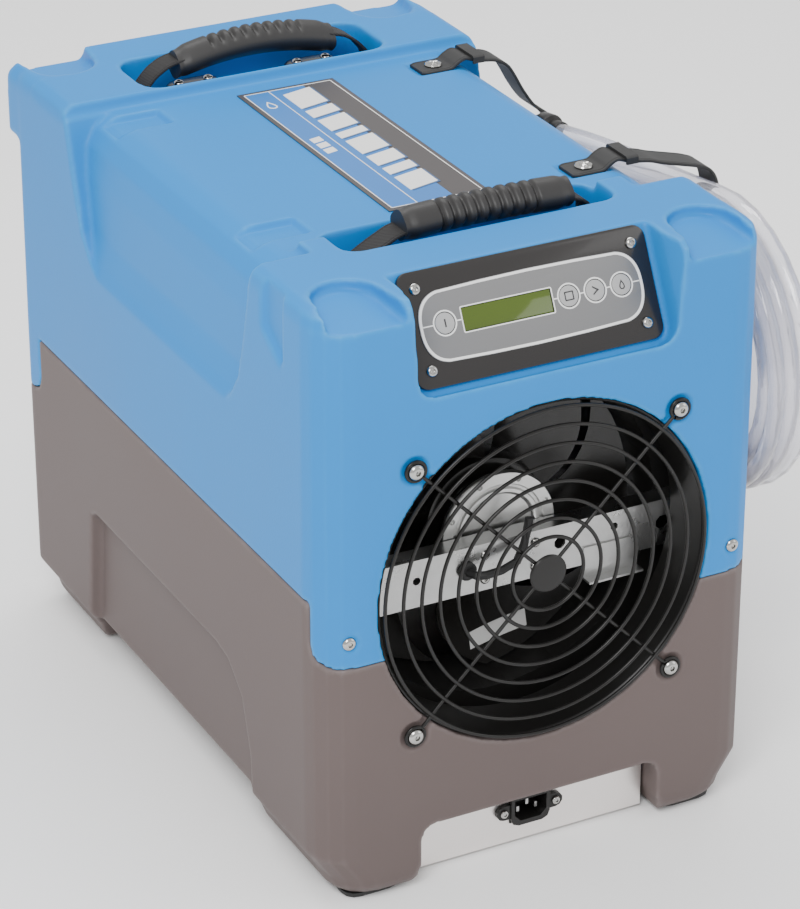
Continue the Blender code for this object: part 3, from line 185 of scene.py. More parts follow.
def through(rings, loop=False):
    """A closed skin through equal rings of points, capped at both ends unless it loops."""
    bm = bmesh.new()
    rows = [[bm.verts.new(p) for p in ring] for ring in rings]
    count = len(rows[0])
    for a, b in list(zip(rows, rows[1:])) + ([(rows[-1], rows[0])] if loop else []):
        for i in range(count):
            j = (i + 1) % count
            bm.faces.new((a[i], a[j], b[j], b[i]))
    if not loop:
        bm.faces.new(list(reversed(rows[0])))
        bm.faces.new(rows[-1])
    bmesh.ops.remove_doubles(bm, verts=bm.verts, dist=1e-7)
    bmesh.ops.recalc_face_normals(bm, faces=bm.faces)
    mesh = bpy.data.meshes.new("skin")
    bm.to_mesh(mesh)
    bm.free()
    return mesh


def turned(profile, centre, axis, steps=64):
    """A turned solid: (radius, height) pairs along an axis."""
    lean = Vector((0, 0, 1)).rotation_difference(Vector(axis)).to_matrix().to_4x4()
    place = Matrix.Translation(centre) @ lean
    return through([[place @ Vector((max(r, 1e-5) * math.cos(2 * math.pi * k / steps),
                                     max(r, 1e-5) * math.sin(2 * math.pi * k / steps), h))
                     for k in range(steps)] for r, h in profile])


def joined(name, meshes):
    """One mesh made of several."""
    bm = bmesh.new()
    for mesh in meshes:
        bm.from_mesh(mesh)
    whole = bpy.data.meshes.new(name)
    bm.to_mesh(whole)
    bm.free()
    return whole


HOSE_D = 0.012
FRONT_END, REAR_END = (-0.1400, 0.2960), (0.0850, 0.2600)  # the middles of the oval's round ends, in y and z
LANES = (0.1825, 0.1945, 0.2065)  # how far out from the middle plane a turn lies
ROWS = (0.0770, 0.0890, 0.1010)  # the radius of each row of turns
ORDER = [(0, 0), (0, 1), (0, 2), (1, 2), (1, 1), (1, 0), (2, 0), (2, 1), (2, 2), (2, 2)]  # (row, lane)
RUN = math.dist(FRONT_END, REAR_END)
LAP = 2 * RUN + 2 * math.pi * ROWS[1]
STRAIGHT, ARC = RUN / LAP, math.pi * ROWS[1] / LAP


def ease(x):
    x = min(1.0, max(0.0, x))
    return x * x * (3 - 2 * x)


def lap_point(phase, radius, x):
    (ya, za), (yb, zb) = FRONT_END, REAR_END
    c, d = (yb - ya) / RUN, (zb - za) / RUN
    if phase < STRAIGHT:
        p, q = RUN * phase / STRAIGHT, -radius
    elif phase < STRAIGHT + ARC:
        a = math.pi * (phase - STRAIGHT) / ARC - math.pi / 2
        p, q = RUN + radius * math.cos(a), radius * math.sin(a)
    elif phase < 2 * STRAIGHT + ARC:
        p, q = RUN * (1 - (phase - STRAIGHT - ARC) / STRAIGHT), radius
    else:
        a = math.pi * (phase - 2 * STRAIGHT - ARC) / ARC + math.pi / 2
        p, q = radius * math.cos(a), radius * math.sin(a)
    return Vector((x, ya + p * c - q * d, za + p * d + q * c))


def wound(u):
    """Where the hose is after u turns; it changes lane at the rear, where the turns go down."""
    k = int(u)
    step = ease((u - k - (2 * STRAIGHT + ARC)) / ARC)
    (ra, xa), (rb, xb) = ORDER[k], ORDER[k + 1]
    radius = ROWS[ra] * (1 - step) + ROWS[rb] * step + 0.0005 * math.sin(5.3 * u + 1.0)
    x = LANES[xa] * (1 - step) + LANES[xb] * step + 0.0004 * math.sin(4.1 * u)
    return lap_point((STRAIGHT - u) % 1.0, radius, x)


hose_start = Vector((0.1710, 0.1380, 0.1600))
join_u = STRAIGHT * 0.85
join_at, join_dir = wound(join_u), (wound(join_u + 0.004) - wound(join_u)).normalized()
span = join_at.y - hose_start.y
hose_line = []
for i in range(26):
    s = i / 26
    h00, h01, h11 = 2 * s**3 - 3 * s**2 + 1, -2 * s**3 + 3 * s**2, s**3 - s**2
    x = hose_start.x + (join_at.x - hose_start.x) * ease((s - 0.5) / 0.5)
    z = h00 * hose_start.z + h01 * join_at.z + h11 * span * join_dir.z / join_dir.y
    hose_line.append(Vector((x, hose_start.y + span * s, z)))
last_u = 8 + STRAIGHT + ARC
count = int((last_u - join_u) * 56)
hose_line += [wound(join_u + (last_u - join_u) * i / count) for i in range(count)]
for i in range(25):
    s = i / 24
    phase = STRAIGHT + ARC + STRAIGHT * (1 - 0.80 * s)
    radius = ROWS[2] + 0.0142 * ease(s * 1.15)
    hose_line.append(lap_point(phase, radius, LANES[2] - 0.0215 * ease(s)))

clear_vinyl = finish("clear_vinyl", (0.92, 0.91, 0.97), 0.05, vary=0.05, scale=30, grain=160, bump=0.05,
                     smudge=0.04, Transmission_Weight=0.80, IOR=1.40, Coat_Weight=0.5, Coat_Roughness=0.03)
tube = bpy.data.curves.new("drain_hose_tube", "CURVE")
tube.dimensions = "3D"
tube.bevel_depth = HOSE_D / 2
tube.bevel_resolution = 4
tube.use_fill_caps = True
spline = tube.splines.new("POLY")
spline.points.add(len(hose_line) - 1)
for point, at in zip(spline.points, hose_line):
    point.co = (*at, 1)
spline.use_smooth = True
tube.materials.append(clear_vinyl)
drain_tube = bpy.data.objects.new("drain_tube", tube)
scene.collection.objects.link(drain_tube)
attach(drain_tube, "case")
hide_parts("drain_hose")

black_plastic = finish("black_plastic", (0.011, 0.0105, 0.010), 0.36, vary=0.15, grain=900, bump=0.2,
                       Specular_IOR_Level=0.35)
hose_end, hose_dir = hose_line[-1], (hose_line[-1] - hose_line[-2]).normalized()
coupling_profile = [
    (0.0, -0.004), (0.0068, -0.004), (0.0072, -0.003), (0.0072, 0.006), (0.0066, 0.0075), (0.0078, 0.0085),
    (0.0096, 0.0095), (0.0102, 0.0110), (0.0102, 0.0215), (0.0094, 0.0230), (0.0072, 0.0236),
    (0.0072, 0.0290), (0.0060, 0.0300), (0.0040, 0.0300), (0.0038, 0.0240), (0.0, 0.0238)]
coupling = piece("hose_coupling", turned(coupling_profile, hose_end, hose_dir, 36), "case", "black_plastic",
                 black_plastic)
WALL_X = 0.1645
out_lo, out_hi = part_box("drain_outlet")
out_y, out_z = (out_lo.y + out_hi.y) / 2, (out_lo.z + out_hi.z) / 2
elbow_line = [Vector((WALL_X + dx, out_y + dy, out_z)) for dx, dy in
              ((-0.0040, 0.0), (0.0005, 0.0), (0.0040, -0.0010), (0.0060, -0.0035), (0.0065, -0.0070),
               (0.0065, -0.0140))]
elbow_rings = []
for i, at in enumerate(elbow_line):
    way = (elbow_line[min(i + 1, 5)] - elbow_line[max(i - 1, 0)]).normalized()
    across = way.cross(Vector((0, 0, 1))).normalized()
    wide = 0.0066 if i < 5 else 0.0070
    elbow_rings.append([at + across * wide * math.cos(a) + Vector((0, 0, wide * math.sin(a)))
                        for a in [2 * math.pi * k / 20 for k in range(20)]])
collar = turned([(0.0, -0.002), (0.0118, -0.002), (0.0124, 0.0), (0.0124, 0.0024), (0.0112, 0.0036),
                 (0.0, 0.0036)], (WALL_X, out_y, out_z), (1, 0, 0), 36)
drain_elbow = piece("drain_elbow", joined("elbow", [through(elbow_rings), collar]), "case", "black_plastic",
                    black_plastic, "drain_outlet")

# ---------------------------------------------------------------- the moulded case
# Two rotationally moulded polyethylene halves, blue over grey, that meet in a stepped joint. Every
# edge is soft, the skin has a fine grain, and corners and rims are scuffed paler by handling.
SEAM_HIGH, SEAM_LOW, STEP_FRONT, STEP_REAR = 0.2270, 0.1830, -0.2360, 0.2100
FAN_Z, DUCT_R = 0.2180, 0.1235
TILT, PANEL_Y, PANEL_Z = math.radians(27.1), -0.2307, 0.3981
PADS_Y = (-0.0975, 0.1185)


def baked(thing):
    """The plain mesh that an object's modifiers make."""
    return bpy.data.meshes.new_from_object(thing.evaluated_get(bpy.context.evaluated_depsgraph_get()))


def moulded(node, soft_above):
    """The node's shape with a moulding's soft edges, kept crisp at the joint and the duct's rim.

    The CAD shape is made a fine grid of points, and each point is smoothed by its own weight.
    """
    source = bmesh.new()
    source.from_mesh(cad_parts[node].data)
    bmesh.ops.remove_doubles(source, verts=source.verts, dist=2e-6)
    mesh = bpy.data.meshes.new(node + "_soft")
    source.to_mesh(mesh)
    source.free()
    work = bpy.data.objects.new(node + "_soft", mesh)
    scene.collection.objects.link(work)
    grid = work.modifiers.new("grid", "REMESH")
    grid.mode = "VOXEL"
    grid.voxel_size = 0.0018
    work_mesh = baked(work)
    work.modifiers.clear()
    work.data = work_mesh
    co = np.empty(len(work_mesh.vertices) * 3)
    work_mesh.vertices.foreach_get("co", co)
    x, y, z = co.reshape(-1, 3).T
    for pad_y in PADS_Y:
        on_pad = (np.abs(y - pad_y) < 0.0125) & (x < -0.0980) & (x > -0.1400) & (z > 0.4180)
        z = np.where(on_pad, z - 0.0022, z)
    work_mesh.vertices.foreach_set("co", np.stack([x, y, z], 1).ravel())
    ends = (y < STEP_FRONT) | (y > STEP_REAR)
    seam = np.where(ends, np.abs(z - SEAM_LOW), np.abs(z - SEAM_HIGH))
    riser = np.minimum(np.abs(y - STEP_FRONT), np.abs(y - STEP_REAR))
    seam = np.where((z > SEAM_LOW - 0.004) & (z < SEAM_HIGH + 0.004), np.minimum(seam, riser), seam)
    firm = np.clip((seam - 0.0015) / 0.009, 0.10, 1.0)
    rim = np.abs(np.hypot(x, z - FAN_Z) - DUCT_R)
    firm = np.where(y < -0.205, firm * np.clip(rim / 0.016, 0.30, 1.0), firm)
    slope = (y - PANEL_Y) * -math.cos(TILT) + (z - PANEL_Z) * math.sin(TILT)
    firm = np.where((np.abs(x) < 0.108) & (np.abs(slope) < 0.012) & (y < -0.19), firm * 0.45, firm)
    upper = firm * np.clip((z - soft_above) / 0.02, 0.0, 1.0) * np.where(y < -0.206, 0.35, 1.0)
    horn = np.where((np.abs(x) > 0.138) & (y > 0.205) & (z > 0.408), 1.0, 0.0)
    for tag, weight, rounds in (("firm", firm, 3), ("soft", upper, 3), ("horn", horn, 24)):
        group = work.vertex_groups.new(name=tag)
        for level in range(1, 21):
            picked = np.flatnonzero(np.round(weight * 20).astype(int) == level)
            if len(picked):
                group.add(picked.tolist(), level / 20, "REPLACE")
        relax = work.modifiers.new(tag, "SMOOTH")
        relax.factor, relax.iterations, relax.vertex_group = 0.5, rounds, tag
    thin = work.modifiers.new("thin", "DECIMATE")
    thin.ratio = min(1.0, 92000 / max(1, len(work_mesh.polygons)))
    result = baked(work)
    bpy.data.objects.remove(work, do_unlink=True)
    return result


case_blue = finish("case_blue", (0.006, 0.205, 0.570), 0.42, vary=0.07, scale=4.5, grain=620, relief=0.00025,
                   bump=0.30, smudge=0.07, worn=((0.06, 0.34, 0.68), 0.505, 0.56), Specular_IOR_Level=0.16)
case_grey = finish("case_grey", (0.112, 0.087, 0.083), 0.50, vary=0.10, scale=5.0, grain=620, relief=0.00025,
                   bump=0.32, smudge=0.07, worn=((0.22, 0.185, 0.18), 0.505, 0.56), Specular_IOR_Level=0.18)
piece("upper_case", moulded("upper_shell", 0.300), "case", "case_blue", case_blue, "upper_shell", crease=180)
piece("lower_case", moulded("lower_shell", 0.600), "case", "case_grey", case_grey, "lower_shell", crease=180)


# ---------------------------------------------------------------- feet
# Four moulded pads of matt black rubber, one pressed on under each foot. Their shape is the CAD's,
# and only the finish is added here.
def dress(mat, *nodes):
    """A CAD node whose shape is right keeps it, and gets its finish."""
    for node in nodes:
        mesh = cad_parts[node].data
        if len(mesh.materials) == 0:
            mesh.materials.append(mat)
        for i in range(len(mesh.materials)):
            mesh.materials[i] = mat


black_rubber = finish("black_rubber", (0.013, 0.013, 0.013), 0.60, vary=0.20, grain=420, relief=0.0003,
                      bump=0.4)
dress(black_rubber, "foot_pad_fl", "foot_pad_fr", "foot_pad_rl", "foot_pad_rr")

# ---------------------------------------------------------------- chassis and mains inlet
# A folded tray of plain satin steel closes the gap between the front feet. The mains inlet is a
# three-pin appliance socket, moulded in black plastic and held by two small screws.
satin_steel = finish("satin_steel", (0.86, 0.82, 0.80), 0.36, 1.0, vary=0.06, scale=9, grain=260, bump=0.12,
                     smudge=0.10)
zinc_plate = finish("zinc_plate", (0.50, 0.50, 0.495), 0.30, 1.0, vary=0.38, scale=34, grain=420,
                    relief=0.0004, bump=0.35, smudge=0.16)
dress(satin_steel, "chassis_pan")
dress(black_plastic, "mains_inlet")
dress(zinc_plate, "inlet_pins")

# ---------------------------------------------------------------- outlet grille
# Eight welded rings of 2.6 mm steel wire on two crossed stays, with a pressed disc in the middle
# and an eye at each end for its screw. Dipped in black enamel.
black_enamel = finish("black_enamel", (0.008, 0.0075, 0.007), 0.30, vary=0.2, grain=300, bump=0.10,
                      smudge=0.08, Specular_IOR_Level=0.30)
WIRE, RING_COUNT, RING_FIRST, RING_STEP = 0.0026, 8, 0.0265, 0.01328
GRILLE_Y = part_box("fan_grille")[0].y + WIRE / 2


def tree_of(name, inputs):
    """An empty Geometry Nodes tree with named inputs for its sizes."""
    tree = bpy.data.node_groups.new(name, "GeometryNodeTree")
    tree.interface.new_socket("Geometry", in_out="INPUT", socket_type="NodeSocketGeometry")
    for label, kind in inputs:
        tree.interface.new_socket(label, in_out="INPUT", socket_type=kind)
    tree.interface.new_socket("Geometry", in_out="OUTPUT", socket_type="NodeSocketGeometry")
    return tree, tree.nodes.new("NodeGroupInput"), tree.nodes.new("NodeGroupOutput")


def grown(holder, tree, values):
    """Runs a tree on an object with its sizes and gives the plain mesh that it makes."""
    mod = holder.modifiers.new("tree", "NODES")
    mod.node_group = tree
    for item in tree.interface.items_tree:
        if item.item_type == "SOCKET" and item.in_out == "INPUT" and item.name in values:
            mod[item.identifier] = values[item.name]
    scene.collection.objects.link(holder)
    mesh = baked(holder)
    bpy.data.objects.remove(holder, do_unlink=True)
    return mesh


tree, given, result = tree_of("wire_rings", [("Rings", "NodeSocketInt"), ("First radius", "NodeSocketFloat"),
                                             ("Pitch", "NodeSocketFloat"), ("Wire", "NodeSocketFloat"),
                                             ("Finish", "NodeSocketMaterial")])
n, wire = tree.nodes, tree.links.new
row = n.new("GeometryNodeMeshLine")
row.inputs["Offset"].default_value = (0, 0, 0)
wire(given.outputs["Rings"], row.inputs["Count"])
number = n.new("GeometryNodeInputIndex")
size = n.new("ShaderNodeMath")
size.operation = "MULTIPLY_ADD"
wire(number.outputs[0], size.inputs[0])
wire(given.outputs["Pitch"], size.inputs[1])
wire(given.outputs["First radius"], size.inputs[2])
hoop = n.new("GeometryNodeCurvePrimitiveCircle")
hoop.inputs["Resolution"].default_value = 120
hoop.inputs["Radius"].default_value = 1.0
rings = n.new("GeometryNodeInstanceOnPoints")
wire(row.outputs["Mesh"], rings.inputs["Points"])
wire(hoop.outputs["Curve"], rings.inputs["Instance"])
wire(size.outputs[0], rings.inputs["Scale"])
flat = n.new("GeometryNodeRealizeInstances")
wire(rings.outputs["Instances"], flat.inputs["Geometry"])
half = n.new("ShaderNodeMath")
half.operation = "MULTIPLY"
half.inputs[1].default_value = 0.5
wire(given.outputs["Wire"], half.inputs[0])
gauge = n.new("GeometryNodeCurvePrimitiveCircle")
gauge.inputs["Resolution"].default_value = 12
wire(half.outputs[0], gauge.inputs["Radius"])
drawn = n.new("GeometryNodeCurveToMesh")
wire(flat.outputs["Geometry"], drawn.inputs["Curve"])
wire(gauge.outputs["Curve"], drawn.inputs["Profile Curve"])
real = n.new("GeometryNodeRealizeInstances")
wire(drawn.outputs["Mesh"], real.inputs["Geometry"])
coat = n.new("GeometryNodeSetMaterial")
wire(real.outputs["Geometry"], coat.inputs["Geometry"])
wire(given.outputs["Finish"], coat.inputs["Material"])
wire(coat.outputs["Geometry"], result.inputs["Geometry"])
rings_mesh = grown(bpy.data.objects.new("rings", bpy.data.meshes.new("rings")), tree,
                   {"Rings": RING_COUNT, "First radius": RING_FIRST, "Pitch": RING_STEP, "Wire": WIRE,
                    "Finish": black_enamel})
rings_mesh.transform(Matrix.Translation((0, GRILLE_Y, FAN_Z)) @ Matrix.Rotation(math.pi / 2, 4, "X"))
disc = turned([(0.0, -0.0016), (0.0060, -0.0016), (0.0126, -0.0012), (0.0135, -0.0004), (0.0135, 0.0006),
               (0.0128, 0.0010), (0.0, 0.0010)], (0, GRILLE_Y, FAN_Z), (0, 1, 0), 48)
SCREW_SQ, EYE_R = 0.0970, 0.0068


def round_wire(line, radius, sides=12, loop=False):
    """A round wire along a line of points."""
    rings = []
    total = len(line)
    for i, at in enumerate(line):
        a = line[(i - 1) % total] if loop or i else at
        b = line[(i + 1) % total] if loop or i < total - 1 else at
        way = (b - a).normalized()
        across = way.cross(Vector((0, 1, 0.001))).normalized()
        over = across.cross(way).normalized()
        rings.append([at + across * radius * math.cos(t) + over * radius * math.sin(t)
                      for t in [2 * math.pi * k / sides for k in range(sides)]])
    return through(rings, loop)


stays = []
for sx in (-1, 1):
    for sz in (-1, 1):
        corner = Vector((sx * SCREW_SQ, GRILLE_Y + 0.0012, FAN_Z + sz * SCREW_SQ))
        outward = Vector((sx, 0, sz)).normalized()
        side = Vector((sz, 0, -sx)).normalized()
        line = [Vector((0, GRILLE_Y + (0.0019 if sx == sz else 0.0021), FAN_Z)) + outward * 0.010,
                corner - outward * 0.024 + Vector((0, 0.0008, 0)), corner - outward * 0.0120]
        for k in range(25):
            a = math.pi + 2 * math.pi * k / 24 * 0.97
            line.append(corner + outward * EYE_R * math.cos(a) + side * EYE_R * math.sin(a)
                        + Vector((0, -0.0006 * k / 24, 0)))
        stays.append(round_wire(line, WIRE / 2))
piece("outlet_grille", joined("outlet_grille", [rings_mesh, disc] + stays), "case", "black_enamel",
      black_enamel, "fan_grille")

# ---------------------------------------------------------------- screws
# Button-head machine screws with a hexagon socket, in turned stainless steel. The first ones hold
# the grille, the case joint and the mains inlet; later sections use the same screw.
stainless = finish("stainless", (0.42, 0.415, 0.40), 0.16, 1.0, vary=0.10, scale=60, grain=1400, bump=0.06,
                   smudge=0.06)


def button_head(radius, height, socket, shank, length):
    """One screw, its head's underside at the origin and its head along +Z."""
    steps = 36
    profile = [(shank, -length), (shank, 0.0), (radius, 0.0), (radius, height * 0.22),
               (radius * 0.93, height * 0.52), (radius * 0.74, height * 0.86), (radius * 0.55, height * 0.98),
               (socket * 1.12, height)]
    rings = [[Vector((r * math.cos(2 * math.pi * k / steps), r * math.sin(2 * math.pi * k / steps), h))
              for k in range(steps)] for r, h in profile]
    for depth, share in ((height * 0.97, 1.0), (height * 0.35, 0.98), (height * 0.22, 0.55)):
        ring = []
        for k in range(steps):
            a = 2 * math.pi * k / steps
            flat_r = socket * math.cos(math.pi / 6) / math.cos((a % (math.pi / 3)) - math.pi / 6)
            ring.append(Vector((share * flat_r * math.cos(a), share * flat_r * math.sin(a), depth)))
        rings.append(ring)
    return through(rings)


def set_screws(name, spots, sizes, mat, slot, *stands_for):
    """One screw set at each (place, direction), by Geometry Nodes."""
    tree, given, result = tree_of(name + "_tree", [("Screw", "NodeSocketObject"),
                                                   ("Finish", "NodeSocketMaterial")])
    n, wire = tree.nodes, tree.links.new
    aim = n.new("GeometryNodeInputNamedAttribute")
    aim.data_type = "FLOAT_VECTOR"
    aim.inputs["Name"].default_value = "aim"
    face = n.new("FunctionNodeAlignRotationToVector")
    face.axis = "Z"
    wire(aim.outputs["Attribute"], face.inputs["Vector"])
    info = n.new("GeometryNodeObjectInfo")
    wire(given.outputs["Screw"], info.inputs["Object"])
    put = n.new("GeometryNodeInstanceOnPoints")
    wire(given.outputs["Geometry"], put.inputs["Points"])
    wire(info.outputs["Geometry"], put.inputs["Instance"])
    wire(face.outputs["Rotation"], put.inputs["Rotation"])
    real = n.new("GeometryNodeRealizeInstances")
    wire(put.outputs["Instances"], real.inputs["Geometry"])
    coat = n.new("GeometryNodeSetMaterial")
    wire(real.outputs["Geometry"], coat.inputs["Geometry"])
    wire(given.outputs["Finish"], coat.inputs["Material"])
    wire(coat.outputs["Geometry"], result.inputs["Geometry"])
    one = bpy.data.objects.new("one_screw", button_head(*sizes))
    scene.collection.objects.link(one)
    dots = bpy.data.meshes.new("spots")
    dots.from_pydata([tuple(at) for at, _ in spots], [], [])
    dots.attributes.new("aim", "FLOAT_VECTOR", "POINT")
    for item, (_, way) in zip(dots.attributes["aim"].data, spots):
        item.vector = tuple(way)
    mesh = grown(bpy.data.objects.new("spots", dots), tree, {"Screw": one, "Finish": mat})
    bpy.data.objects.remove(one, do_unlink=True)
    if "aim" in mesh.attributes:
        mesh.attributes.remove(mesh.attributes["aim"])
    return piece(name, mesh, "case", slot, mat, *stands_for, crease=28)


def heads(nodes, height):
    """Head seats of screws that face the front, from their nodes' boxes."""
    spots = []
    for node in nodes:
        lo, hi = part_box(node)
        spots.append((((lo.x + hi.x) / 2, lo.y + height, (lo.z + hi.z) / 2), (0, -1, 0)))
    return spots


corners = ("tl", "tr", "bl", "br")
SCREW_SETS = (("grille", corners, 0.0028, (0.0056, 0.0032, 0.0021, 0.0025, 0.010)),
              ("case", ("l", "r"), 0.0024, (0.0048, 0.0026, 0.0019, 0.0020, 0.009)),
              ("inlet", ("l", "r"), 0.0016, (0.0031, 0.0018, 0.0013, 0.0015, 0.007)))
for where, tags, height, sizes in SCREW_SETS:
    names = ["%s_screw_%s" % (where, tag) for tag in tags]
    set_screws(where + "_screws", heads(names, height), sizes, stainless, "stainless", *names)

# ---------------------------------------------------------------- fan bracket, motor and cable
# A zinc-plated channel, drilled with holes, crosses the duct. The motor's die-cast end plate is
# screwed to it, and its cable comes out through a rubber grommet and bends in to the hub.
dress(zinc_plate, "fan_bracket")
dress(black_rubber, "motor_cable")


def with_holes(mesh, holes):
    """The mesh with the given closed meshes cut out of it."""
    base = bpy.data.objects.new("base", mesh)
    cutter = bpy.data.objects.new("cutter", joined("cutter", holes))
    scene.collection.objects.link(base)
    scene.collection.objects.link(cutter)
    cut = base.modifiers.new("cut", "BOOLEAN")
    cut.object, cut.operation, cut.solver = cutter, "DIFFERENCE", "EXACT"
    holed = baked(base)
    bpy.data.objects.remove(base, do_unlink=True)
    bpy.data.objects.remove(cutter, do_unlink=True)
    return holed


bracket_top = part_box("fan_bracket")[1]
MOTOR_Y = bracket_top.y + 0.0003
BRACKET_HIGH, BOLT_R = 0.0350, 0.0382
die_cast = finish("die_cast", (0.60, 0.60, 0.59), 0.33, 1.0, vary=0.12, scale=30, grain=340, relief=0.0003,
                  bump=0.30, smudge=0.12)
motor_mesh = turned([(0.0, 0.018), (0.030, 0.018), (0.030, 0.006), (0.0415, 0.0052), (0.0430, 0.0042),
                     (0.0430, 0.0016), (0.0422, 0.0006), (0.0345, 0.0006), (0.0335, 0.0016), (0.0318, 0.0018),
                     (0.0308, 0.0002), (0.0285, 0.0), (0.0272, 0.0008), (0.0262, 0.0026), (0.0, 0.0026)],
                    (0, MOTOR_Y, FAN_Z), (0, 1, 0), 72)
drills = []
for k in range(8):
    a = math.radians(22.5 + 45 * k)
    drills.append(turned([(0.0021, -0.01), (0.0021, 0.0032)],
                         (BOLT_R * math.cos(a), MOTOR_Y, FAN_Z + BOLT_R * math.sin(a)), (0, 1, 0), 16))
piece("motor_end_plate", with_holes(motor_mesh, drills), "case", "zinc", die_cast, "fan_motor", crease=30)
bracket_z = bracket_top.z - BRACKET_HIGH / 2
spots = [((sx * 0.0190, MOTOR_Y - 0.0153, bracket_z + sz * 0.0090), (0, -1, 0))
         for sx in (-1, 1) for sz in (-1, 1)]
set_screws("motor_screws", spots, (0.0036, 0.0020, 0.0014, 0.0018, 0.012), stainless, "zinc")

# ---------------------------------------------------------------- fan
# A five-bladed sickle fan moulded in glossy black nylon on a cup-shaped hub, in a thin plastic
# shroud with a lining ring at the duct's mouth. One blade carries a plain white sticker.
dress(black_plastic, "fan_shroud")
DUCT_Y = -0.2560
section = ((0.1230, 0.0036), (0.1224, 0.0028), (0.1214, 0.0028), (0.1206, 0.0036), (0.1204, 0.0046),
           (0.1204, 0.0440), (0.1230, 0.0440))
liner = through([[Vector((r * math.cos(a), DUCT_Y + h, FAN_Z + r * math.sin(a))) for r, h in section]
                 for a in [2 * math.pi * k / 144 for k in range(144)]], True)
piece("duct_liner", liner, "case", "black_plastic", black_plastic)
nylon = finish("black_nylon", (0.012, 0.011, 0.010), 0.22, vary=0.15, grain=200, bump=0.08, smudge=0.08)
ROTOR_Y, ROOT, TIP, BLADES = -0.1732, 0.0425, 0.1155, 5


def sweep(b, f):
    """The angle in degrees of blade b's middle, f from root to tip."""
    return 72 * b + 34 * f * f + 8 * f - 30


def blade_at(b, f, s, lift=0.0):
    """A point of blade b, f from root to tip and s from -1 to 1 across its chord."""
    r = ROOT + (TIP - ROOT) * f
    a = math.radians(sweep(b, f)) + math.radians(25 + 6 * f) * (1 - 0.10 * f) * s
    low, high = 0.0030 + 0.002 * f, 0.0240 - 0.004 * f
    y = ROTOR_Y + low + (high - low) * (s + 1) / 2 + 0.0016 * (1 - s * s) + lift
    return Vector((r * math.cos(a), y, FAN_Z + r * math.sin(a)))


hub = turned([(0.0, 0.002), (0.030, 0.0015), (0.0405, 0.0006), (0.0440, 0.0022), (0.0452, 0.0060),
              (0.0452, 0.0240), (0.0430, 0.0276), (0.0400, 0.0290), (0.0, 0.0290)],
             (0, ROTOR_Y, FAN_Z), (0, 1, 0), 72)
chord = [-1 + 2 * k / 14 for k in range(15)]
edge = [0.0009 * max(0.15, 1 - s ** 8) for s in chord]
blades = []
for b in range(BLADES):
    rings = []
    for i in range(17):
        front = [blade_at(b, i / 16, s, -e) for s, e in zip(chord, edge)]
        back = [blade_at(b, i / 16, s, e + 0.0006) for s, e in zip(chord, edge)]
        rings.append(front + back[::-1])
    blades.append(through(rings))
piece("fan", joined("fan", [hub] + blades), "fan_rotor", "black_plastic", nylon, "fan_rotor", crease=40)


def on_blade(b, x, z, lift):
    """The point of blade b that covers x, z as seen from the front."""
    r, a = math.hypot(x, z - FAN_Z), math.degrees(math.atan2(z - FAN_Z, x)) % 360
    f = (r - ROOT) / (TIP - ROOT)
    s = (a - sweep(b, f) % 360) / ((25 + 6 * f) * (1 - 0.10 * f))
    return blade_at(b, f, s, lift)


STICKER_LONG, STICKER_HIGH = 0.0480, 0.0115
sticker_rings = []
for i in range(15):
    x = -0.0075 + STICKER_LONG * i / 14
    low = 0.1165 + 0.0030 * i / 14
    sticker_rings.append([on_blade(4, x, low + STICKER_HIGH * k / 4, -0.0012) for k in range(5)]
                         + [on_blade(4, x, low + STICKER_HIGH * k / 4, -0.0015) for k in (4, 3, 2, 1, 0)])
paper_white = finish("paper_white", (0.72, 0.72, 0.71), 0.55, vary=0.05, scale=25, grain=900, bump=0.1)
piece("blade_sticker", through(sticker_rings), "fan_rotor", "black_plastic", paper_white)


# ---------------------------------------------------------------- control panel
# A moulded black bezel screwed into a sloped pocket. A printed polycarbonate film covers it, with
# a white border, a display window and four round keys joined by white lines.
def on_panel(u, v, w):
    """A point across, up the slope and out of the bezel's face."""
    s, c = math.sin(TILT), math.cos(TILT)
    return Vector((u, PANEL_Y + v * s - w * c, PANEL_Z + v * c + w * s))


def rounded(u0, u1, v0, v1, r, steps=8):
    """A rectangle's outline with round corners."""
    points = []
    for cu, cv, start in ((u1 - r, v1 - r, 0), (u0 + r, v1 - r, 90), (u0 + r, v0 + r, 180),
                          (u1 - r, v0 + r, 270)):
        for k in range(steps + 1):
            a = math.radians(start + 90 * k / steps)
            points.append((cu + r * math.cos(a), cv + r * math.sin(a)))
    return points


def plate_of(outline, levels, place=on_panel):
    """A plate from an outline, with (height, inset) levels that round its edge."""
    cu = sum(p[0] for p in outline) / len(outline)
    cv = sum(p[1] for p in outline) / len(outline)
    span_u = max(abs(p[0] - cu) for p in outline)
    span_v = max(abs(p[1] - cv) for p in outline)
    return through([[place(cu + (u - cu) * (1 - inset / span_u), cv + (v - cv) * (1 - inset / span_v), w)
                     for u, v in outline] for w, inset in levels])


def ring_of(outer, inner, w0, w1, place=on_panel):
    """A flat printed ring between two outlines with the same number of points."""
    rings = []
    for (ou, ov), (iu, iv) in zip(outer, inner):
        rings.append([place(ou, ov, w0), place(ou, ov, w1), place(iu, iv, w1), place(iu, iv, w0)])
    return through(rings, True)


def circle(u, v, r, steps=40):
    return [(u + r * math.cos(2 * math.pi * k / steps), v + r * math.sin(2 * math.pi * k / steps))
            for k in range(steps)]


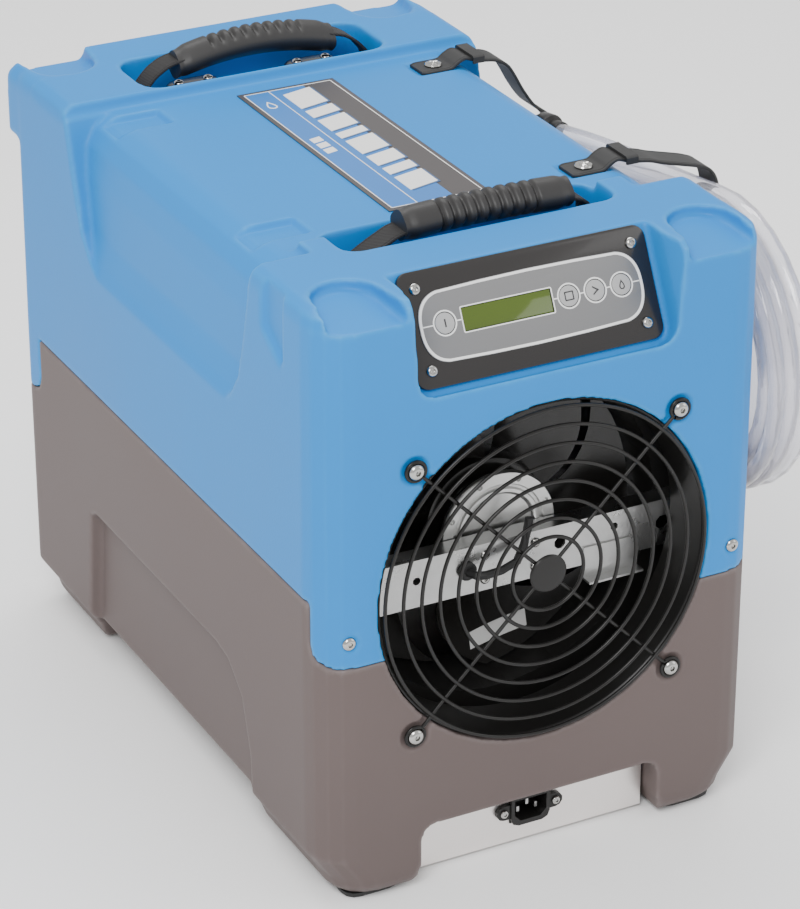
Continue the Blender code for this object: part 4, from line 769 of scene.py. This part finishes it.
KEYS = (("power", -0.0630), ("set", 0.0264), ("next", 0.0458), ("pump", 0.0652))
KEY_V, KEY_R = 0.0015, 0.0068
gloss_black = finish("gloss_black", (0.014, 0.012, 0.0115), 0.24, vary=0.12, grain=500, bump=0.10,
                     smudge=0.07, Coat_Weight=0.2)
film_grey = finish("film_grey", (0.165, 0.165, 0.167), 0.40, vary=0.03, scale=14, grain=1300, bump=0.12)
key_grey = finish("key_grey", (0.36, 0.36, 0.36), 0.42, vary=0.03, scale=14, grain=1300, bump=0.12)
white_ink = finish("white_ink", (0.78, 0.78, 0.77), 0.45, vary=0.03, grain=1300, bump=0.05)
dark_ink = finish("dark_ink", (0.030, 0.030, 0.032), 0.45, vary=0.05, grain=1300, bump=0.05)
LCD = (-0.0500, 0.0140, -0.0062, 0.0086)


def round_display(gap, r):
    """The display's outline, wider by a gap on every side."""
    return rounded(LCD[0] - gap, LCD[1] + gap, LCD[2] - gap, LCD[3] + gap, r, 3)


THROUGH, PRINTED = ((-0.01, 0), (0.01, 0)), (0.0008, 0.0010)
holes = [plate_of(round_display(0.0003, 0.0006), THROUGH)]
holes += [plate_of(circle(u, KEY_V, KEY_R + 0.0004), THROUGH) for _, u in KEYS]
bezel = plate_of(rounded(-0.090, 0.090, -0.0375, 0.0375, 0.0085, 12),
                 ((-0.0029, 0.0), (-0.0010, 0.0), (-0.0003, 0.0003), (0.0, 0.0011)))
piece("panel_bezel", with_holes(bezel, holes), "case", "gloss_black", gloss_black, "control_bezel")


def film_outline(half, high, pull):
    """A long oval with bowed sides and squarish round ends."""
    points = []
    for k in range(72):
        a = 2 * math.pi * k / 72
        c, t = math.cos(a), math.sin(a)
        u = math.copysign(abs(c) ** (2 / 2.5), c) * pull
        v = math.copysign(abs(t) ** (2 / 2.5), t)
        u += math.copysign(half - pull, c) * min(1.0, abs(c) * 6)
        points.append((u, v * high * (0.93 + 0.07 * math.cos(math.pi * u / (2 * half)))))
    return points


film = plate_of(film_outline(0.0810, 0.0245, 0.0210), ((0.0003, 0.0), (0.0008, 0.0), (0.0009, 0.0002)))
piece("panel_film", with_holes(film, holes), "case", "overlay_grey", film_grey, "control_overlay")
border = ring_of(film_outline(0.0806, 0.0241, 0.0206), film_outline(0.0788, 0.0224, 0.0190), *PRINTED)
key_rings = [ring_of(circle(u, KEY_V, KEY_R + 0.0016), circle(u, KEY_V, KEY_R + 0.0006), *PRINTED)
             for _, u in KEYS]
LINE = 0.0004
joins = [(-0.0785, -0.0714), (-0.0546, LCD[0] - 0.0006), (LCD[1] + 0.0006, 0.0180), (0.0348, 0.0374),
         (0.0542, 0.0568), (0.0736, 0.0785)]
join_lines = [plate_of([(u0, KEY_V - LINE), (u1, KEY_V - LINE), (u1, KEY_V + LINE), (u0, KEY_V + LINE)],
                       [(w, 0) for w in PRINTED]) for u0, u1 in joins]
display_rim = ring_of(round_display(0.0012, 0.0012), round_display(0.0004, 0.0006), *PRINTED)
piece("panel_lines", joined("panel_lines", [border] + key_rings + join_lines + [display_rim]), "case",
      "overlay_grey", white_ink)

lcd_green = finish("lcd_green", (0.058, 0.095, 0.003), 0.10, vary=0.10, scale=22, grain=40, bump=0.02,
                   Coat_Weight=0.25, Coat_Roughness=0.03)
piece("display", plate_of(round_display(0.0, 0.0004), ((-0.0022, 0), (0.0002, 0), (0.0004, 0.0003))), "case",
      "lcd_glass", lcd_green, "lcd_window")
dress(finish("board_green", (0.03, 0.16, 0.07), 0.5, vary=0.3, scale=160), "control_board")


def drop_outline(u, v, wide, high, steps):
    """A water drop's outline, point up."""
    angles = [2 * math.pi * k / steps for k in range(steps)]
    return [(u + wide * math.sin(a) * (0.5 - 0.5 * math.cos(a)) ** 0.7 * 1.25, v + high * math.cos(a))
            for a in angles]


SIGN = (0.0013, 0.0015)
flat_sign = [(w, 0) for w in SIGN]
for tag, u in KEYS:
    cap = plate_of(circle(u, KEY_V, KEY_R, 48),
                   ((-0.0004, 0), (0.0008, 0), (0.0012, 0.0003), (0.00135, 0.0009)))
    piece("key_top_" + tag, cap, "key_" + tag, "key_grey", key_grey, "key_" + tag)
    if tag == "power":
        sign = plate_of([(u - 0.0005, KEY_V - 0.0026), (u + 0.0005, KEY_V - 0.0026),
                         (u + 0.0005, KEY_V + 0.0026), (u - 0.0005, KEY_V + 0.0026)], flat_sign)
    elif tag == "set":
        outer = rounded(u - 0.0033, u + 0.0033, KEY_V - 0.0030, KEY_V + 0.0030, 0.0004, 2)
        inner = rounded(u - 0.0025, u + 0.0025, KEY_V - 0.0022, KEY_V + 0.0022, 0.0002, 2)
        sign = ring_of(outer, inner, *SIGN)
    elif tag == "next":
        sign = plate_of([(u - 0.0020, KEY_V + 0.0020), (u + 0.0008, KEY_V), (u - 0.0020, KEY_V - 0.0020),
                         (u - 0.0020, KEY_V - 0.0030), (u + 0.0026, KEY_V), (u - 0.0020, KEY_V + 0.0030)],
                        flat_sign)
    else:
        outer = drop_outline(u, KEY_V, 0.0022, 0.0032, 24)
        inner = [(u + (p - u) * 0.6, KEY_V - 0.0003 + (q - KEY_V) * 0.68) for p, q in outer]
        sign = ring_of(outer, inner, *SIGN)
    piece("key_sign_" + tag, sign, "key_" + tag, "key_grey", dark_ink)
out = on_panel(0, 0, 1) - on_panel(0, 0, 0)
spots = [(on_panel(su * 0.0785, sv * 0.0262, 0.0003), out) for su in (-1, 1) for sv in (-1, 1)]
set_screws("bezel_screws", spots, (0.0039, 0.0022, 0.0016, 0.0016, 0.007), stainless, "stainless",
           *["bezel_screw_" + tag for tag in corners])

# ---------------------------------------------------------------- deck label
# Laminated vinyl film on the deck. A dark border with a white pinstripe frames a blue field and a
# dark band, with slanted blocks and a drop as plain decoration.
lab_lo, lab_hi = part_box("deck_label")
TOP = lab_hi.z


def on_label(across, along, up):
    return Vector((across, along, TOP + up))


film_dark = finish("film_dark", (0.040, 0.034, 0.034), 0.34, vary=0.08, scale=12, grain=900, bump=0.08)
film_blue = finish("film_blue", (0.006, 0.150, 0.470), 0.32, vary=0.12, scale=9, grain=900, bump=0.08)
film_shade = finish("film_shade", (0.028, 0.085, 0.215), 0.34, vary=0.10, scale=9, grain=900, bump=0.08)
dress(film_dark, "deck_label")
lx0, lx1, ly0, ly1 = lab_lo.x, lab_hi.x, lab_lo.y, lab_hi.y


def label_part(name, mat, meshes):
    """Pieces of printed film on the label, joined into one."""
    piece(name, joined(name, meshes), "case", "label_film", mat)


split, stripe_x = lx0 + 0.0500, lx0 + 0.0225
PRINT = ((0.0001, 0), (0.0003, 0))
field = rounded(lx0 + 0.0040, split, ly0 + 0.0040, ly1 - 0.0040, 0.0008, 2)
label_part("label_field", film_blue, [plate_of(field, ((-0.0001, 0), (0.00012, 0)), on_label)])
label_part("label_lines", white_ink, [
    ring_of(rounded(lx0 + 0.0034, lx1 - 0.0034, ly0 + 0.0034, ly1 - 0.0034, 0.0012, 3),
            rounded(lx0 + 0.0041, lx1 - 0.0041, ly0 + 0.0041, ly1 - 0.0041, 0.0008, 3), 0.0001, 0.0003,
            on_label),
    plate_of([(stripe_x, ly0 + 0.0042), (lx0 + 0.0231, ly0 + 0.0042), (lx0 + 0.0231, ly1 - 0.0042),
              (stripe_x, ly1 - 0.0042)], PRINT, on_label)])
blocks, shades = [], []
along = ly1 - 0.0150
for wide in (0.030, 0.014, 0.022, 0.010, 0.026, 0.018, 0.012, 0.024):
    quad = [(0.0, 0.0), (0.0235, 0.006), (0.0235, 0.006 - wide), (0.0, -wide)]
    for bag, shift, up in ((shades, 0.0014, 0.0), (blocks, 0.0, 0.0001)):
        bag.append(plate_of([(lx0 + 0.0290 + a + shift, along + b - shift) for a, b in quad][::-1],
                            ((0.0001, 0), (0.0003 + up, 0)), on_label))
    along -= wide + 0.0055
tick = [(0.0, 0.0), (0.0085, 0.002), (0.0085, 0.002 - 0.008), (0.0, -0.008)]
for k in range(3):
    blocks.append(plate_of([(lx0 + 0.0085 + a, 0.030 - k * 0.0105 + b) for a, b in tick][::-1], PRINT,
                           on_label))
outer = drop_outline(lx0 + 0.0130, 0.100, 0.0040, 0.0070, 28)
inner = [(lx0 + 0.0130 + (p - lx0 - 0.0130) * 0.7, 0.0995 + (q - 0.100) * 0.74) for p, q in outer]
blocks.append(ring_of(outer, inner, 0.0001, 0.0003, on_label))
label_part("label_shades", film_shade, shades)
label_part("label_blocks", white_ink, blocks)

# ---------------------------------------------------------------- carrying handles
# Nylon webbing, folded back on itself under a moulded anchor cap at each end, carries a ribbed
# rubber grip. Each handle lies in its well and swings a little way forwards and back.
webbing = finish("webbing", (0.010, 0.009, 0.009), 0.72, vary=0.25, grain=900, relief=0.0004, bump=0.6,
                 smudge=0.1)
weave = webbing.node_tree
wave = weave.nodes.new("ShaderNodeTexWave")
wave.wave_type, wave.bands_direction = "BANDS", "DIAGONAL"
wave.inputs["Scale"].default_value = 260
wave.inputs["Distortion"].default_value = 2.0
weave.links.new([x for x in weave.nodes if x.type == "TEX_COORD"][0].outputs["Object"], wave.inputs["Vector"])
weave.links.new(wave.outputs["Fac"], [x for x in weave.nodes if x.type == "BUMP"][0].inputs["Height"])
grip_rubber = finish("grip_rubber", (0.016, 0.015, 0.0145), 0.50, vary=0.20, scale=20, grain=500,
                     relief=0.0002, bump=0.35)


def flowing(points, steps=6):
    """The points joined by a smooth line that passes through each."""
    pts = [Vector(p) for p in points]
    out = []
    for i in range(len(pts) - 1):
        before, after = pts[max(i - 1, 0)], pts[min(i + 2, len(pts) - 1)]
        a, b = pts[i], pts[i + 1]
        out += interpolate_bezier(a, a + (b - before) / 6, b - (after - a) / 6, b, steps + 1)[:-1]
    return out + [pts[-1]]


BAND_SECTION = ((-1, -0.5), (-0.96, -1), (-0.5, -1), (0.5, -1), (0.96, -1), (1, -0.5), (1, 0.5), (0.96, 1),
                (0.86, 1.0), (0.84, 0.72), (0.80, 0.72), (0.78, 1.0), (0.0, 1.0), (-0.78, 1.0),
                (-0.80, 0.72), (-0.84, 0.72), (-0.86, 1.0), (-0.96, 1), (-1, 0.5))


def band(line, width, thick, up, taper=None):
    """A flat strap with rounded edges along a line; up is the way its face looks at the start."""
    rings = []
    for i, at in enumerate(line):
        way = (line[min(i + 1, len(line) - 1)] - line[max(i - 1, 0)]).normalized()
        across = way.cross(Vector(up)).normalized()
        face = across.cross(way).normalized()
        w = width / 2 * (taper(i / (len(line) - 1)) if taper else 1.0)
        rings.append([at + across * a * w + face * b * (thick / 2) for a, b in BAND_SECTION])
    return through(rings)


GRIP, GRIP_R, SPREAD, GRIP_STEPS = 0.1240, 0.0120, 0.0920, 150
CAP_LEVELS = {
    "front": ((0.0, 0.0), (0.0012, 0.0), (0.0018, 0.0006), (0.0022, 0.0022), (0.0034, 0.0028),
              (0.0056, 0.0034), (0.0068, 0.0044), (0.0073, 0.0062)),
    "rear": ((0.0, 0.0), (0.0040, 0.0), (0.0050, 0.0006), (0.0100, 0.0012), (0.0128, 0.0021),
             (0.0146, 0.0036), (0.0154, 0.0056), (0.0156, 0.0080)),
}
for tag, drop_end, rib_tilt in (("front", 0.0020, -50), ("rear", 0.0091, 60)):
    grip_lo, grip_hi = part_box("handle_grip_" + tag)
    y, shift = (grip_lo.y + grip_hi.y) / 2, (grip_lo.x + grip_hi.x) / 2
    base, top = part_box("handle_strap_" + tag)[0].z + 0.0009, grip_hi.z - GRIP_R
    points = []
    for sx in (-1, 1):
        over = GRIP / 2 + sx * shift
        part = [(0.0270, 0.0), (0.0500, 0.0002), (0.0710, 0.0004), (SPREAD - 0.0070, 0.0022),
                (SPREAD - 0.0012, 0.0070), (SPREAD, 0.0130), (SPREAD - 0.0035, 0.0190)]
        part = [(x, base + z) for x, z in part]
        part += [(min(over + 0.0140, SPREAD - 0.0060), top - 0.0100), (over - 0.0060, top - 0.0035)]
        if sx < 0:
            points += [(-x, y, z) for x, z in part] + [(shift, y, top)]
        else:
            points += [(x, y, z) for x, z in reversed(part)]
    strap = piece("handle_webbing_" + tag, band(flowing(points, 7), 0.0200, 0.0020, (0, 0, 1)), None,
                  "webbing", webbing, "handle_strap_" + tag, crease=50)
    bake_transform(strap)
    rings = []
    for i in range(GRIP_STEPS + 1):
        f = i / GRIP_STEPS
        x = (f - 0.5) * GRIP + shift
        z = top - drop_end * (2 * f - 1) ** 2
        end = min(f, 1 - f) * GRIP
        r = GRIP_R * (0.84 + 0.16 * ease(end / 0.010))
        if end < 0.004:
            r += 0.0008 * ease(1 - end / 0.004)
        ribbed = ease((end - 0.024) / 0.004)
        wave_at = (x - shift) / 0.0088 * 2 * math.pi
        groove = 0.0030 * ribbed * (0.5 + 0.5 * math.cos(wave_at)) ** 2.2
        ring = []
        for k in range(28):
            a = 2 * math.pi * k / 28
            toward = 0.5 + 0.5 * math.cos(a - math.radians(90 - rib_tilt))
            cut = groove * ease((toward - 0.22) / 0.30)
            lobe = 1 + 0.05 * math.cos(4 * a)
            ring.append((x, y + (r - cut) * lobe * math.cos(a) * 1.06,
                         z + (r - cut) * lobe * 0.92 * math.sin(a)))
        rings.append(ring)
    piece("handle_sleeve_" + tag, through(rings), "handle_" + tag, "black_rubber", grip_rubber,
          "handle_grip_" + tag, crease=60)
    levels = CAP_LEVELS[tag]
    spots = []
    for side in ("l", "r"):
        node = "handle_cap_%s%s" % (tag, side)
        lo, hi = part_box(node)
        mid_x, mid_y, low = (lo.x + hi.x) / 2, (lo.y + hi.y) / 2, base + 0.0019
        outline = rounded(mid_x - 0.0225, mid_x + 0.0225, mid_y - 0.0125, mid_y + 0.0125, 0.0112, 10)
        cap = plate_of(outline, levels, lambda a, b, c, low=low: Vector((a, b, low + c)))
        piece("anchor_cap_%s_%s" % (tag, side), cap, "case", "gloss_black", gloss_black, node)
        spots += [((mid_x + dx, mid_y, low + levels[-1][0] - 0.0002), (0, 0, 1)) for dx in (-0.0115, 0.0115)]
    set_screws("anchor_screws_" + tag, spots, (0.0040, 0.0022, 0.0014, 0.0020, 0.008), stainless, "stainless")

# ---------------------------------------------------------------- hose straps
# Two black reinforced rubber straps, snap-riveted in dents at the deck's edge. Each is doubled
# through a keeper, then drops over the coil and ends in a tapered tip.
STRAP_WIDE, KEEPER_LONG = 0.0240, 0.0090
DRAPE = (
    ("front", ((0.1700, 0.4195), (0.1850, 0.4155), (0.1990, 0.4115), (0.2085, 0.4065), (0.2140, 0.3960),
               (0.2158, 0.3780))),
    ("rear", ((0.1690, 0.4175), (0.1750, 0.4090), (0.1830, 0.3950), (0.1930, 0.3815), (0.2060, 0.3715),
              (0.2135, 0.3610), (0.2155, 0.3420))),
)
KEEPER_SECTION = ((-1.0, -0.0030), (-1.0, 0.0016), (-0.90, 0.0028), (0.90, 0.0028), (1.0, 0.0016),
                  (1.0, -0.0030), (0.90, -0.0030), (0.90, 0.0006), (-0.90, 0.0006), (-0.90, -0.0030))
for tag, drape in DRAPE:
    riv_lo, riv_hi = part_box("strap_rivet_" + tag)
    sy, rx = (riv_lo.y + riv_hi.y) / 2, (riv_lo.x + riv_hi.x) / 2
    base = riv_hi.z - 0.0036
    line = [(rx + dx, sy, base + dz) for dx, dz in
            ((-0.0140, 0.0), (0.0, 0.0), (0.0090, 0.0004), (0.0140, 0.0036), (0.0200, 0.0062),
             (0.0260, 0.0046), (0.0340, 0.0026))]
    line += [(0.1600, sy, base + 0.0004)] + [(x, sy, z) for x, z in drape]
    strap_mesh = band(flowing(line, 7), STRAP_WIDE, 0.0022, (0, 0, 1),
                      taper=lambda f: (0.80 + 0.20 * ease(f / 0.03)) * (1 - 0.55 * ease((f - 0.93) / 0.07)))
    keeper_x, keeper_z, half_wide = rx + 0.0300, base + 0.0052, STRAP_WIDE / 2 + 0.0022
    keeper = through([[Vector((keeper_x + dx, sy + a * half_wide, keeper_z + b)) for a, b in KEEPER_SECTION]
                      for dx in (-KEEPER_LONG / 2, -KEEPER_LONG / 2 + 0.0006, KEEPER_LONG / 2 - 0.0006,
                                 KEEPER_LONG / 2)])
    piece("hose_strap_%s_rubber" % tag, joined("strap", [strap_mesh, keeper]), "case", "black_rubber",
          black_rubber, "hose_strap_" + tag, crease=45)
    rivet = turned([(0.0022, -0.010), (0.0022, 0.0), (0.0062, 0.0), (0.0064, 0.0006), (0.0058, 0.0014),
                    (0.0046, 0.0017), (0.0038, 0.0011), (0.0032, 0.0010), (0.0026, 0.0018), (0.0014, 0.0022),
                    (0.0010, 0.0015), (0.0, 0.0014)], (rx, sy, riv_hi.z - 0.0022), (0, 0, 1), 48)
    piece("strap_rivet_%s_head" % tag, rivet, "case", "stainless", stainless, "strap_rivet_" + tag, crease=30)

# ---------------------------------------------------------------- intake and the machine inside
# The rear intake is a moulded louvre with a pleated filter that pulls straight out. Behind it are
# the finned coils, the compressor, the plate heat exchanger, the pump and the copper pipe.
dress(black_plastic, "intake_grille", "filter_frame")
dress(finish("filter_paper", (0.72, 0.74, 0.75), 0.9, vary=0.10, scale=12, grain=500, bump=0.5),
      "filter_media")
dress(finish("fin_aluminium", (0.70, 0.71, 0.72), 0.35, 1.0, vary=0.10, scale=140), "evaporator", "condenser")
dress(black_enamel, "compressor")
dress(finish("core_plates", (0.70, 0.72, 0.74), 0.45, vary=0.10, scale=60), "heat_exchanger")
dress(finish("white_moulding", (0.78, 0.78, 0.76), 0.45, vary=0.04), "condensate_pump")
dress(finish("drawn_copper", (0.72, 0.36, 0.20), 0.28, 1.0, vary=0.15, scale=30), "discharge_pipe")
